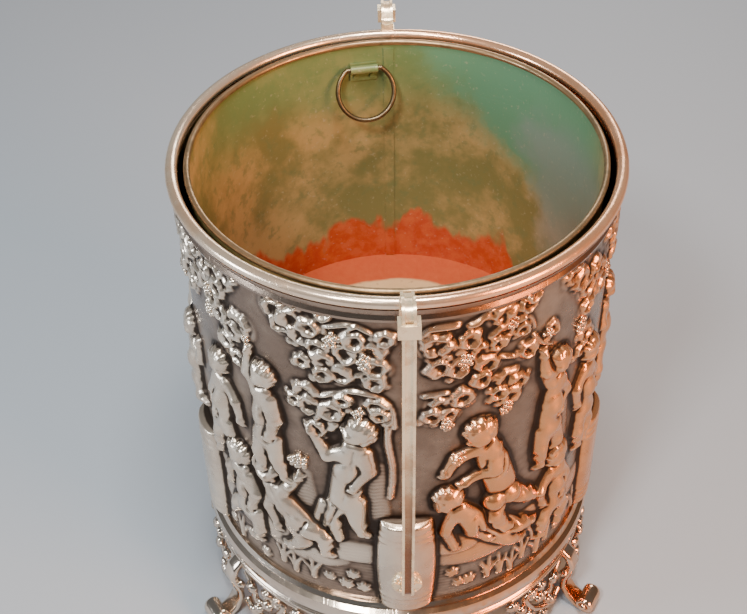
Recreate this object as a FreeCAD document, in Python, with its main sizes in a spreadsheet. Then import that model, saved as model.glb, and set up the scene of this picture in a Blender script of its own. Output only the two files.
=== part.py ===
"""Champagne bucket stand: a silver-plated drum on four cast scroll feet, with a
loose copper liner. Millimetres, +Z up, origin on the table under the centre of the
drum. The two strap handles stand at -Y (front) and +Y (back)."""

import FreeCAD, Part
import math
import os
import Sketcher
from FreeCAD import Placement, Rotation, Vector

DOC = FreeCAD.newDocument("bucket_stand")
SHEET = DOC.addObject("Spreadsheet::Sheet", "Sizes")

DRIVING_SIZES = [
    # drum
    ("rim_radius", 105.0, "outside radius over the rim wire"),
    ("rim_height", 271.0, "table to the top of the rim wire"),
    ("rim_wire", 2.75, "radius of the rim wire"),
    ("wall_inset", 4.0, "how far the drum wall stands in from the outside of the rim"),
    ("wall_sheet", 1.3, "thickness of the drum wall"),
    ("base_height", 44.0, "table to the underside of the drum"),
    ("neck_height", 8.0, "height of the coved band under the rim"),
    ("neck_proud", 3.0, "how far the neck band stands off the wall"),
    ("moulding_height", 19.0, "height of the reeded base moulding"),
    ("moulding_proud", 5.6, "how far the widest reed stands off the wall"),
    ("base_wire", 1.5, "radius of the wire under the moulding"),
    ("plate_sheet", 2.0, "thickness of the base plate"),
    ("seat_height", 131.0, "table to the top of the liner's seat"),
    ("seat_width", 16.0, "width of the seat ring"),
    ("seat_sheet", 2.5, "thickness of the seat ring"),
    # casks in relief
    ("cask_height", 66.0, "height of a cask"),
    ("cask_belly", 22.0, "radius of a cask at its belly"),
    ("cask_end", 19.6, "radius of a cask at its heads"),
    ("cask_proud", 4.6, "how far a belly stands off the wall"),
    # feet
    ("foot_angle", 58.0, "each foot's angle from the handle line, in degrees"),
    ("foot_span", 50.0, "angle that a foot's openwork panel covers, in degrees"),
    ("foot_panel", 4.4, "thickness of the panel"),
    ("foot_panel_foot", 14.0, "table to the lower edge of the panel"),
    ("foot_flange", 14.0, "reach of the fixing flange under the drum"),
    ("foot_flange_sheet", 3.0, "thickness of the fixing flange"),
    ("volute_radius", 7.0, "radius of the scroll that the foot stands on"),
    ("volute_reach", 20.0, "how far the centre of the scroll stands out from the wall"),
    ("volute_width", 13.0, "width of the scroll"),
    ("leg_width", 8.0, "width of the leg above the scroll"),
    ("screw_radius", 1.5, "radius of a foot screw"),
    ("screw_spread", 12.0, "angle of a foot screw from the middle of its foot"),
    ("nut_across", 6.0, "width of a nut over its corners"),
    # handles
    ("strap_width", 5.7, "width of the handle strap"),
    ("strap_sheet", 3.4, "thickness of the strap over its borders"),
    ("strap_groove", 0.7, "depth of the sunk middle of the strap"),
    ("strap_border", 1.2, "width of each raised border"),
    ("handle_reach", 16.0, "how far the strap stands off the rim"),
    ("handle_rise", 7.6, "how far the strap rises over the rim"),
    ("handle_drop", 130.0, "length of the straight run of the strap"),
    ("handle_foot", 88.0, "table to the middle of the lower boss"),
    ("boss_radius", 7.4, "radius of the lower boss"),
    ("boss_sheet", 3.2, "thickness of the lower boss"),
    ("collar_width", 9.2, "width of the collar at the bend"),
    ("collar_height", 7.0, "height of the collar"),
    ("clip_width", 6.8, "width of the clip at the rim"),
    ("rivet_radius", 1.2, "radius of a rivet"),
    # liner
    ("liner_gap", 2.7, "gap between the liner's bead and the rim wire"),
    ("liner_bead", 1.5, "radius of the liner's rolled bead"),
    ("liner_sink", 1.5, "how far the bead's top lies under the rim"),
    ("liner_sheet", 0.9, "thickness of the liner"),
    ("liner_taper", 6.5, "how much the liner narrows down to its floor"),
    ("liner_play", 0.3, "gap between the liner and its seat"),
    ("floor_disc", 66.0, "radius of the raised middle of the liner's floor"),
    ("floor_step", 1.6, "height of that raised middle"),
    ("seam_width", 5.0, "width of the liner's lapped seam"),
    # drop rings
    ("ring_radius", 14.6, "radius of a drop ring to the middle of its wire"),
    ("ring_wire", 1.25, "radius of the ring wire"),
    ("ring_bar", 18.0, "length of the straight bar that the ring turns on"),
    ("ring_lean", 27.0, "how far a ring leans in from hanging, in degrees"),
    ("ring_drop", 14.0, "bead top down to the bar"),
    ("ring_turn", 8.0, "angle of each ring from the handle line, in degrees"),
    ("lug_length", 14.0, "length of the folded lug along the bar"),
    ("lug_height", 10.0, "height of the lug's plate"),
    ("lug_sheet", 0.9, "thickness of the lug"),
    ("bar_play", 0.08, "radial play of the bar in its lug"),
]

FIT = 0.05                 # gap round a screw or rivet in its hole
LUG_RIVET = 0.7            # height of a lug rivet's head
BURR_GAP = 0.01            # gap between a burr's corner and the wall
CASK_ANGLES = (0, 72, 108, 180, 252, 288)
HANDLE_TURNS = {"front": -90.0, "back": 90.0}


class Size:
    """A number together with the sheet expression that gives it."""

    def __init__(self, value, text):
        self.value = value
        self.text = text

    @staticmethod
    def of(other):
        return other if isinstance(other, Size) else Size(float(other), repr(float(other)))

    def __add__(self, other):
        other = Size.of(other)
        return Size(self.value + other.value, f"({self.text} + {other.text})")

    def __sub__(self, other):
        other = Size.of(other)
        return Size(self.value - other.value, f"({self.text} - {other.text})")

    def __mul__(self, other):
        other = Size.of(other)
        return Size(self.value * other.value, f"({self.text} * {other.text})")


def fill_sheet():
    """Writes the driving sizes to the sheet and returns them by name."""
    sizes = {}
    for row, (name, value, note) in enumerate(DRIVING_SIZES, start=1):
        SHEET.set(f"A{row}", note)
        SHEET.set(f"B{row}", str(value))
        SHEET.setAlias(f"B{row}", name)
        sizes[name] = Size(value, f"Sizes.{name}")
    DOC.recompute()
    return sizes


S = fill_sheet()


# ---------------------------------------------------------------- worked-out sizes

RIM_CENTRE_R = S["rim_radius"] - S["rim_wire"]
RIM_CENTRE_Z = S["rim_height"] - S["rim_wire"]
WALL_OUTER = S["rim_radius"] - S["wall_inset"]
VOLUTE_R = WALL_OUTER + S["volute_reach"]
WALL_INNER = WALL_OUTER - S["wall_sheet"]
WALL_TOP = S["rim_height"] - S["rim_wire"] * 2
BEAD_OUTER = S["rim_radius"] - S["rim_wire"] * 2 - S["liner_gap"]
BEAD_CENTRE_R = BEAD_OUTER - S["liner_bead"]
BEAD_CENTRE_Z = S["rim_height"] - S["liner_sink"] - S["liner_bead"]
LINER_TOP = BEAD_CENTRE_Z - S["liner_bead"]
LINER_TOP_R = BEAD_CENTRE_R + S["liner_sheet"] * 0.5
LINER_FOOT_R = LINER_TOP_R - S["liner_taper"]
FLOOR_UNDER = S["seat_height"] + S["liner_play"]
FLOOR_TOP = FLOOR_UNDER + S["liner_sheet"]
BELLY_R = WALL_OUTER + S["cask_proud"]
STRAP_R = S["rim_radius"] + S["handle_reach"]
BAR_Z = S["rim_height"] - S["liner_sink"] - S["ring_drop"]

LINER_LEAN = math.degrees(math.atan2(S["liner_taper"].value, LINER_TOP.value - FLOOR_TOP.value))


# ---------------------------------------------------------------- helpers

def new(kind, name, **values):
    """A document object with its sizes bound to the sheet."""
    thing = DOC.addObject(kind, name)
    for prop, value in values.items():
        if isinstance(value, Size):
            thing.setExpression(prop, value.text)
        else:
            setattr(thing, prop, value)
    return thing


def at(thing, position, axis=Vector(0, 0, 1), angle=0.0):
    thing.Placement = Placement(Vector(*position), Rotation(axis, angle))
    return thing


def turned(thing, degrees):
    """Turns a finished piece round the drum's axis."""
    spin = Placement(Vector(0, 0, 0), Rotation(Vector(0, 0, 1), degrees))
    thing.Placement = spin.multiply(thing.Placement)
    return thing


def cut(name, base, tool):
    return new("Part::Cut", name, Base=base, Tool=tool)


def fuse(name, shapes):
    return new("Part::MultiFuse", name, Shapes=shapes)


def group(name, shapes):
    return new("Part::Compound", name, Links=shapes)


def cylinder(name, radius, height):
    return new("Part::Cylinder", name, Radius=radius, Height=height)


def box(name, length, width, height):
    return new("Part::Box", name, Length=length, Width=width, Height=height)


def torus(name, ring_radius, wire_radius):
    return new("Part::Torus", name, Radius1=ring_radius, Radius2=wire_radius)


def plane_of(body, role):
    for feature in body.Origin.OriginFeatures:
        if feature.Role == role:
            return feature
    raise ValueError(role)


def sketch_on(body, role, name):
    sketch = body.newObject("Sketcher::SketchObject", name)
    sketch.AttachmentSupport = [(plane_of(body, role), "")]
    sketch.MapMode = "FlatFace"
    return sketch


def bind(sketch, kind, geometry, point, size, label):
    """One sketch dimension from the origin, bound to the sheet."""
    index = sketch.addConstraint(Sketcher.Constraint(kind, -1, 1, geometry, point, size.value))
    sketch.renameConstraint(index, label)
    sketch.setExpression(f"Constraints.{label}", size.text)


def outline(body, role, name, corners):
    """A closed outline of straight lines whose every corner is bound to the sheet."""
    sketch = sketch_on(body, role, name)
    points = [(Size.of(u), Size.of(v)) for u, v in corners]
    spots = [Vector(u.value, v.value, 0) for u, v in points]
    count = len(spots)
    for i in range(count):
        sketch.addGeometry(Part.LineSegment(spots[i], spots[(i + 1) % count]))
    for i in range(count):
        sketch.addConstraint(Sketcher.Constraint("Coincident", i, 2, (i + 1) % count, 1))
    for i, (u, v) in enumerate(points):
        bind(sketch, "DistanceX", i, 1, u, f"across{i}")
        bind(sketch, "DistanceY", i, 1, v, f"up{i}")
    return sketch


def circles(body, role, name, centres, radius):
    """Equal circles at the given places, with their radius bound to the sheet."""
    sketch = sketch_on(body, role, name)
    for i, (u, v) in enumerate(centres):
        sketch.addGeometry(Part.Circle(Vector(u, v, 0), Vector(0, 0, 1), radius.value))
        index = sketch.addConstraint(Sketcher.Constraint("Radius", i, radius.value))
        sketch.renameConstraint(index, f"radius{i}")
        sketch.setExpression(f"Constraints.radius{i}", radius.text)
    return sketch


def revolve(body, sketch, angle=360.0):
    """Turns an outline round Z; a part turn is centred on the sketch."""
    feature = body.newObject("PartDesign::Revolution", sketch.Name + "_turned")
    feature.Profile = sketch
    feature.ReferenceAxis = (sketch, ["V_Axis"])
    if isinstance(angle, Size):
        feature.setExpression("Angle", angle.text)
        feature.Midplane = True
    else:
        feature.Angle = angle
    body.Tip = feature
    return feature


def pad(body, sketch, length):
    """Pads a sketch equally to both sides."""
    feature = body.newObject("PartDesign::Pad", sketch.Name + "_pad")
    feature.Profile = sketch
    feature.setExpression("Length", length.text)
    feature.Midplane = True
    body.Tip = feature
    return feature


def through(body, sketch):
    """Cuts a sketch through everything, both ways."""
    feature = body.newObject("PartDesign::Pocket", sketch.Name + "_cut")
    feature.Profile = sketch
    feature.Type = "ThroughAll"
    feature.Midplane = True
    body.Tip = feature
    return feature


def ring_of(name, corners):
    """A ring turned from one outline of (radius, height) corners."""
    body = DOC.addObject("PartDesign::Body", name)
    revolve(body, outline(body, "XZ_Plane", name + "_outline", corners))
    return body


def polar(radius, degrees, height):
    turn = math.radians(degrees)
    return (radius * math.cos(turn), radius * math.sin(turn), height)


# ---------------------------------------------------------------- drum

def make_cask(index, degrees):
    """Half of a cask is a cone; its lower half is the same cone upside down."""
    axis_r = BELLY_R.value - S["cask_belly"].value
    half = S["cask_height"] * 0.5
    middle = S["base_height"].value + S["moulding_height"].value + half.value
    halves = []
    for side, flip in (("upper", 0.0), ("lower", 180.0)):
        cone = new("Part::Cone", f"cask_{index}_{side}", Radius1=S["cask_belly"],
                   Radius2=S["cask_end"], Height=half)
        halves.append(at(cone, polar(axis_r, degrees - 90.0, middle), Vector(1, 0, 0), flip))
    return halves


def make_drum():
    tube = cylinder("drum_outside", WALL_OUTER, WALL_TOP - S["base_height"])
    solids = [at(tube, (0, 0, S["base_height"].value))]
    for index, degrees in enumerate(CASK_ANGLES):
        solids += make_cask(index, degrees)
    bore = at(cylinder("drum_bore", WALL_INNER, S["rim_height"]), (0, 0, 0))
    shell = cut("drum_shell_unpierced", fuse("drum_and_casks", solids), bore)
    holes = fuse("drum_rivet_holes", rivet_pins("drum_hole", S["rivet_radius"] + FIT))
    return cut("drum_shell", shell, holes)


def make_rim_wire():
    return at(torus("rim_wire", RIM_CENTRE_R, S["rim_wire"]), (0, 0, RIM_CENTRE_Z.value))


def make_neck_band():
    """Two fillets with a cove between them."""
    low = WALL_TOP - S["neck_height"]
    wall = WALL_OUTER
    return ring_of("neck_band", [
        (wall, low), (wall + S["neck_proud"] * 0.5, low),
        (wall + S["neck_proud"] * 0.6, low + S["neck_height"] * 0.2),
        (wall + S["neck_proud"] * 0.3, low + S["neck_height"] * 0.45),
        (wall + S["neck_proud"] * 0.5, low + S["neck_height"] * 0.75),
        (wall + S["neck_proud"], low + S["neck_height"] * 0.9),
        (wall + S["neck_proud"], WALL_TOP), (wall, WALL_TOP)])


def make_base_moulding():
    """Three reeds, the middle one the widest; (share of the height, share of the depth)."""
    reeds = [(0.0, 0.6), (0.12, 0.75), (0.2, 0.5), (0.27, 0.9), (0.5, 1.0),
             (0.7, 0.86), (0.78, 0.42), (0.88, 0.55), (1.0, 0.3)]
    low = S["base_height"]
    wall = WALL_OUTER
    corners = [(wall, low)]
    corners += [(wall + S["moulding_proud"] * out, low + S["moulding_height"] * up)
                for up, out in reeds]
    corners.append((wall, low + S["moulding_height"]))
    return ring_of("base_moulding", corners)


def make_base_wire():
    wire = torus("base_wire", WALL_OUTER + S["base_wire"] + 0.9, S["base_wire"])
    return at(wire, (0, 0, S["base_height"].value - S["base_wire"].value))


def foot_turns():
    """The feet's directions, in degrees round from +X, by name."""
    angle = S["foot_angle"].value
    return {"front_right": -90 + angle, "back_right": 90 - angle,
            "back_left": 90 + angle, "front_left": 270 - angle}


def screw_places():
    """Where the foot screws pass through the base plate."""
    reach = WALL_INNER.value - S["foot_flange"].value * 0.4
    spread = S["screw_spread"].value
    return [polar(reach, turn + side * spread, 0)[:2]
            for turn in foot_turns().values() for side in (-1, 1)]


def make_base_plate():
    body = DOC.addObject("PartDesign::Body", "base_plate")
    low = S["base_height"]
    high = low + S["plate_sheet"]
    revolve(body, outline(body, "XZ_Plane", "plate_outline",
                          [(0, low), (WALL_INNER, low), (WALL_INNER, high), (0, high)]))
    through(body, circles(body, "XY_Plane", "screw_holes", screw_places(),
                          S["screw_radius"] + FIT))
    return body


def make_seat_ring():
    low = S["seat_height"] - S["seat_sheet"]
    inner = WALL_INNER - S["seat_width"]
    return ring_of("seat_ring", [(inner, low), (WALL_INNER, low),
                                 (WALL_INNER, S["seat_height"]), (inner, S["seat_height"])])


# ---------------------------------------------------------------- feet

def leg_outline():
    """Side view of a leg, from the panel out and down to the scroll."""
    panel_r = WALL_OUTER
    reach = VOLUTE_R
    coil = S["volute_radius"]
    top = S["base_height"] - S["base_wire"] * 2
    return [(panel_r + 1.0, top - 6.0), (panel_r + 5.2, top - 9.0), (panel_r + 7.6, top - 16.0),
            (panel_r + 8.6, top - 24.0), (reach - coil * 0.8, coil * 2.3),
            (reach, coil * 2.0), (reach, coil), (reach - coil * 0.95, coil * 0.7),
            (panel_r + 7.0, coil * 1.9), (panel_r + 2.0, coil * 3.0), (panel_r, top - 18.0)]


def make_foot(name, turn):
    """A cast foot: openwork panel, fixing flange, scrolled leg and a flat to stand on."""
    body = DOC.addObject("PartDesign::Body", f"foot_{name}")
    wall = WALL_OUTER
    top = S["base_height"] - S["base_wire"] * 2
    inner = wall - 1.0
    outer = inner + S["foot_panel"]
    low = S["foot_panel_foot"]
    flange_low = S["base_height"] - S["foot_flange_sheet"] - 1.0
    panel = outline(body, "XZ_Plane", f"{name}_panel",
                    [(inner, low), (outer, low), (outer, top), (inner + 1.4, top),
                     (inner + 1.4, S["base_height"]), (wall - S["foot_flange"], S["base_height"]),
                     (wall - S["foot_flange"], flange_low), (inner, flange_low)])
    revolve(body, panel, S["foot_span"])
    windows(body, name, outer, low, flange_low)
    pad(body, outline(body, "XZ_Plane", f"{name}_leg", leg_outline()), S["leg_width"])
    coil = circles(body, "XZ_Plane", f"{name}_scroll",
                   [(VOLUTE_R.value, S["volute_radius"].value)], S["volute_radius"])
    pad(body, coil, S["volute_width"])
    stand = outline(body, "XZ_Plane", f"{name}_flat",
                    [(VOLUTE_R - 3.0, Size.of(0.0)), (VOLUTE_R + 3.0, Size.of(0.0)),
                     (VOLUTE_R + 3.0, S["volute_radius"]),
                     (VOLUTE_R - 3.0, S["volute_radius"])])
    pad(body, stand, S["volute_width"])
    places = [polar(WALL_INNER.value - S["foot_flange"].value * 0.4, side * S["screw_spread"].value, 0)
              for side in (-1, 1)]
    through(body, circles(body, "XY_Plane", f"{name}_holes", [p[:2] for p in places],
                          S["screw_radius"] + FIT))
    return turned(body, turn)


def windows(body, name, outer, low, high):
    """Four round openings in the panel, two each side of the leg."""
    middle = (low.value + high.value) / 2
    spread = outer.value * math.sin(math.radians(S["foot_span"].value / 2))
    sketch = circles(body, "YZ_Plane", f"{name}_windows",
                     [(spread * share, middle + lift) for share in (-0.72, -0.4, 0.4, 0.72)
                      for lift in (-6.0 if abs(share) < 0.5 else 2.0,)],
                     S["foot_panel"] * 1.1)
    through(body, sketch)


def make_screws():
    """One screw up through each flange and the base plate, its head underneath."""
    low = S["base_height"].value - S["foot_flange_sheet"].value - 1.0
    head = S["screw_radius"] * 1.9
    screws = []
    for index, (x, y) in enumerate(screw_places()):
        cap = at(cylinder(f"screw_{index}_head", head, S["screw_radius"]),
                 (x, y, low - S["screw_radius"].value))
        length = S["foot_flange_sheet"] + S["plate_sheet"] + S["nut_across"] * 0.7 + 1.0
        shank = at(cylinder(f"screw_{index}_shank", S["screw_radius"], length), (x, y, low))
        screws.append(fuse(f"screw_{index}", [cap, shank]))
    return group("foot_screws", screws)


def make_nuts():
    nuts = []
    high = S["base_height"].value + S["plate_sheet"].value
    for index, (x, y) in enumerate(screw_places()):
        blank = new("Part::Prism", f"nut_{index}_blank", Polygon=6,
                    Circumradius=S["nut_across"] * 0.5, Height=S["nut_across"] * 0.45)
        bore = cylinder(f"nut_{index}_bore", S["screw_radius"] + FIT, S["nut_across"])
        nuts.append(cut(f"nut_{index}", at(blank, (x, y, high)), at(bore, (x, y, high - 1.0))))
    return group("foot_nuts", nuts)


# ---------------------------------------------------------------- handles

RIVET_OFFSETS = (-5.2, 5.2)


def boss_face():
    """How far out the lower boss's outer face lies."""
    return BELLY_R + S["boss_sheet"]


def rivet_pins(name, radius):
    """Plain pins where the handle rivets pass through the drum."""
    pins = []
    for side, turn in HANDLE_TURNS.items():
        for index, across in enumerate(RIVET_OFFSETS):
            pin = cylinder(f"{name}_{side}_{index}", radius, S["cask_proud"] + S["boss_sheet"] + 6.0)
            at(pin, (WALL_INNER.value - 2.0, across, S["handle_foot"].value), Vector(0, 1, 0), 90)
            pins.append(turned(pin, turn))
    return pins


def strap_path():
    """Middle line of the strap as (reach, height) knots with the radius of each bend."""
    out = STRAP_R.value - S["strap_sheet"].value / 2
    top = S["rim_height"].value + S["handle_rise"].value
    low = top - S["handle_drop"].value
    end = boss_face().value
    root = S["rim_height"].value + S["strap_sheet"].value / 2
    return [(RIM_CENTRE_R.value, root, 0), (S["rim_radius"].value + 1.5, root, 4.0),
            (S["rim_radius"].value + 6.0, top, 5.0), (out, top, 4.0), (out, low, 45.0),
            (end + 6.5, S["handle_foot"].value, 5.0), (end, S["handle_foot"].value, 0)]


def rounded_edges(knots):
    """Straight runs joined by tangent arcs, in the XZ plane."""
    points = [Vector(r, 0, z) for r, z, _ in knots]
    edges = []
    start = points[0]
    for i in range(1, len(points) - 1):
        here = points[i]
        back = (points[i - 1] - here).normalize()
        ahead = (points[i + 1] - here).normalize()
        half = back.getAngle(ahead) / 2
        trim = knots[i][2] / math.tan(half)
        centre = here + (back + ahead).normalize() * (knots[i][2] / math.sin(half))
        near = here + back * trim
        far = here + ahead * trim
        middle = centre + (here - centre).normalize() * knots[i][2]
        edges += [Part.LineSegment(start, near).toShape(), Part.Arc(near, middle, far).toShape()]
        start = far
    edges.append(Part.LineSegment(start, points[-1]).toShape())
    return edges


def strap_section(start, ahead):
    """The strap's section: a flat bar with a sunk middle, bordered on its outer face."""
    outward = Vector(0, 1, 0).cross(ahead).normalize()
    half = S["strap_width"].value / 2
    thick = S["strap_sheet"].value / 2
    groove = thick - S["strap_groove"].value
    lip = half - S["strap_border"].value
    corners = [(-half, -thick), (half, -thick), (half, thick), (lip, thick), (lip, groove),
               (-lip, groove), (-lip, thick), (-half, thick)]
    points = [start + Vector(0, across, 0) + outward * -up for across, up in corners]
    return Part.makePolygon(points + points[:1])


def make_strap(side, turn):
    knots = strap_path()
    path = Part.Wire(rounded_edges(knots))
    start = Vector(knots[0][0], 0, knots[0][1])
    ahead = (Vector(knots[1][0], 0, knots[1][1]) - start).normalize()
    strap = DOC.addObject("Part::Feature", f"handle_strap_{side}_bar")
    strap.Shape = path.makePipeShell([strap_section(start, ahead)], True, False)
    return turned(strap, turn)


def make_clip(side, turn):
    """A block outside the rim, hollowed to the rim wire, that carries the strap."""
    low = WALL_TOP - S["neck_height"] * 0.4
    block = box(f"clip_{side}_block", S["rim_wire"] + 3.0, S["clip_width"], S["rim_height"] - low)
    at(block, (RIM_CENTRE_R.value, -S["clip_width"].value / 2, low.value))
    wire = at(torus(f"clip_{side}_wire", RIM_CENTRE_R, S["rim_wire"]), (0, 0, RIM_CENTRE_Z.value))
    band = at(cylinder(f"clip_{side}_band", WALL_OUTER + S["neck_proud"], WALL_TOP), (0, 0, 0))
    tools = fuse(f"clip_{side}_tools", [wire, band])
    return turned(cut(f"handle_clip_{side}", block, tools), turn)


def make_collar(side, turn):
    """A square collar threaded on the strap just below its bend."""
    depth = S["strap_sheet"] + 3.0
    top = S["rim_height"].value + S["handle_rise"].value - 4.4
    middle = STRAP_R.value - S["strap_sheet"].value / 2
    block = box(f"collar_{side}_block", depth, S["collar_width"], S["collar_height"])
    at(block, (middle - depth.value / 2, -S["collar_width"].value / 2, top - S["collar_height"].value))
    slot = box(f"collar_{side}_slot", S["strap_sheet"] + FIT * 2, S["strap_width"] + FIT * 2,
               S["rim_height"])
    at(slot, (middle - S["strap_sheet"].value / 2 - FIT, -S["strap_width"].value / 2 - FIT, top - 20.0))
    return turned(cut(f"handle_collar_{side}", block, slot), turn)


def make_boss(side, turn):
    """A round boss seated on the cask's belly, pierced for its two rivets."""
    disc = at(cylinder(f"boss_{side}_disc", S["boss_radius"], S["boss_sheet"] + 6.0),
              (BELLY_R.value - 6.0, 0, S["handle_foot"].value), Vector(0, 1, 0), 90)
    seat_r = BELLY_R.value - S["cask_belly"].value
    middle = S["base_height"].value + S["moulding_height"].value + S["cask_height"].value / 2
    seats = []
    for half, flip in (("upper", 0.0), ("lower", 180.0)):
        cone = new("Part::Cone", f"boss_{side}_{half}", Radius1=S["cask_belly"],
                   Radius2=S["cask_end"], Height=S["cask_height"] * 0.5)
        seats.append(at(cone, (seat_r, 0, middle), Vector(1, 0, 0), flip))
    holes = []
    for index, across in enumerate(RIVET_OFFSETS):
        hole = cylinder(f"boss_{side}_hole_{index}", S["rivet_radius"] + FIT, S["boss_sheet"] + 20.0)
        holes.append(at(hole, (BELLY_R.value - 10.0, across, S["handle_foot"].value),
                        Vector(0, 1, 0), 90))
    return turned(cut(f"handle_boss_{side}", disc, fuse(f"boss_{side}_tools", seats + holes)), turn)


def make_rivets(side, turn):
    rivets = []
    inner = WALL_INNER.value - 1.0
    for index, across in enumerate(RIVET_OFFSETS):
        length = S["wall_sheet"] + S["cask_proud"] + S["boss_sheet"] + 1.0
        shank = at(cylinder(f"rivet_{side}_{index}_shank", S["rivet_radius"], length),
                   (inner, across, S["handle_foot"].value), Vector(0, 1, 0), 90)
        head = at(cylinder(f"rivet_{side}_{index}_head", S["rivet_radius"] * 1.7, Size.of(1.0)),
                  (boss_face().value, across, S["handle_foot"].value), Vector(0, 1, 0), 90)
        rivets.append(turned(fuse(f"rivet_{side}_{index}", [shank, head]), turn))
    return group(f"handle_rivets_{side}", rivets)


def burr_face():
    """Where a flat burr meets the round wall: at its outermost corner."""
    corner = max(abs(across) for across in RIVET_OFFSETS) + S["rivet_radius"].value * 2
    return math.sqrt(WALL_INNER.value ** 2 - corner ** 2) - BURR_GAP


def make_washers():
    """Burrs that the rivets are closed over inside the drum."""
    washers = []
    for side, turn in HANDLE_TURNS.items():
        for index, across in enumerate(RIVET_OFFSETS):
            disc = at(cylinder(f"burr_{side}_{index}_disc", S["rivet_radius"] * 2, Size.of(1.0)),
                      (burr_face() - 1.0, across, S["handle_foot"].value), Vector(0, 1, 0), 90)
            bore = at(cylinder(f"burr_{side}_{index}_bore", S["rivet_radius"] + FIT, Size.of(4.0)),
                      (WALL_INNER.value - 3.0, across, S["handle_foot"].value), Vector(0, 1, 0), 90)
            washers.append(turned(cut(f"burr_{side}_{index}", disc, bore), turn))
    return group("rivet_burrs", washers)


# ---------------------------------------------------------------- liner

def make_liner_wall():
    sheet = S["liner_sheet"]
    return ring_of("liner_wall", [
        (LINER_FOOT_R - sheet, FLOOR_TOP), (LINER_FOOT_R, FLOOR_TOP),
        (LINER_TOP_R, LINER_TOP), (LINER_TOP_R - sheet, LINER_TOP)])


def make_liner_bead():
    return at(torus("liner_rim_bead", BEAD_CENTRE_R, S["liner_bead"]), (0, 0, BEAD_CENTRE_Z.value))


def make_liner_floor():
    """A flat disc whose middle is pressed up into a shallow step."""
    step = S["floor_step"]
    disc = S["floor_disc"]
    sheet = S["liner_sheet"]
    body = DOC.addObject("PartDesign::Body", "liner_floor")
    revolve(body, outline(body, "XZ_Plane", "floor_outline", [
        (0, FLOOR_UNDER + step), (disc - sheet, FLOOR_UNDER + step), (disc - sheet, FLOOR_UNDER),
        (LINER_FOOT_R, FLOOR_UNDER), (LINER_FOOT_R, FLOOR_TOP), (disc, FLOOR_TOP),
        (disc, FLOOR_TOP + step), (0, FLOOR_TOP + step)]))
    return body


def liner_inner_at(height):
    """Radius of the liner's inner face at a height."""
    share = (height - FLOOR_TOP.value) / (LINER_TOP.value - FLOOR_TOP.value)
    return LINER_FOOT_R.value - S["liner_sheet"].value + S["liner_taper"].value * share


def flat_on_liner(height, width):
    """How far out a flat strip of a width can lie against the curved inner face."""
    return math.sqrt(liner_inner_at(height) ** 2 - (width / 2) ** 2)


def make_liner_seam():
    """The lap where the liner's wall is joined, up its back."""
    low = FLOOR_TOP.value + 0.6
    thick = S["liner_sheet"] * 0.7
    strip = box("liner_seam", S["seam_width"], thick, LINER_TOP - FLOOR_TOP - 2.0)
    out = flat_on_liner(low, S["seam_width"].value) - thick.value / math.cos(math.radians(LINER_LEAN))
    return at(strip, (-S["seam_width"].value / 2, out - 0.005, low), Vector(1, 0, 0), -LINER_LEAN)


def bar_reach():
    """Centre of the drum to the middle of a ring's bar."""
    return (liner_inner_at(BAR_Z.value) - S["lug_sheet"].value - S["ring_wire"].value
            - S["bar_play"].value - 1.0)


def lug_face(height):
    """How far out the inner face of a lug's plate lies at a height."""
    thick = S["lug_sheet"].value / math.cos(math.radians(LINER_LEAN))
    return flat_on_liner(height, S["lug_length"].value) - thick - 0.01


def make_lug(side, turn):
    """A plate on the wall with a rolled eye for the ring's bar."""
    low = BAR_Z.value - S["lug_height"].value + 2.5
    plate = box(f"lug_{side}_plate", S["lug_sheet"], S["lug_length"], S["lug_height"])
    at(plate, (lug_face(low), -S["lug_length"].value / 2, low), Vector(0, 1, 0), LINER_LEAN)
    eye = cylinder(f"lug_{side}_eye", S["ring_wire"] + S["bar_play"] + S["lug_sheet"], S["lug_length"])
    bore = cylinder(f"lug_{side}_bore", S["ring_wire"] + S["bar_play"], S["lug_length"] * 2)
    at(eye, (bar_reach(), S["lug_length"].value / 2, BAR_Z.value), Vector(1, 0, 0), 90)
    at(bore, (bar_reach(), S["lug_length"].value, BAR_Z.value), Vector(1, 0, 0), 90)
    return turned(cut(f"ring_lug_{side}", fuse(f"lug_{side}_solid", [plate, eye]), bore), turn)


def make_lug_rivets():
    rivets = []
    for side, turn in ring_turns().items():
        for index, across in enumerate((-4.2, 4.2)):
            height = BAR_Z.value - S["lug_height"].value * 0.5
            head = math.cos(math.radians(LINER_LEAN)) * LUG_RIVET
            pin = at(cylinder(f"lug_rivet_{side}_{index}", S["rivet_radius"], Size.of(LUG_RIVET)),
                     (lug_face(height) - head - 0.01, across, height), Vector(0, 1, 0), 90 + LINER_LEAN)
            rivets.append(turned(pin, turn))
    return group("lug_rivets", rivets)


def ring_turns():
    """Directions of the two drop rings, in degrees round from +X."""
    return {"front": -90.0 + S["ring_turn"].value, "back": 90.0 + S["ring_turn"].value}


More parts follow.
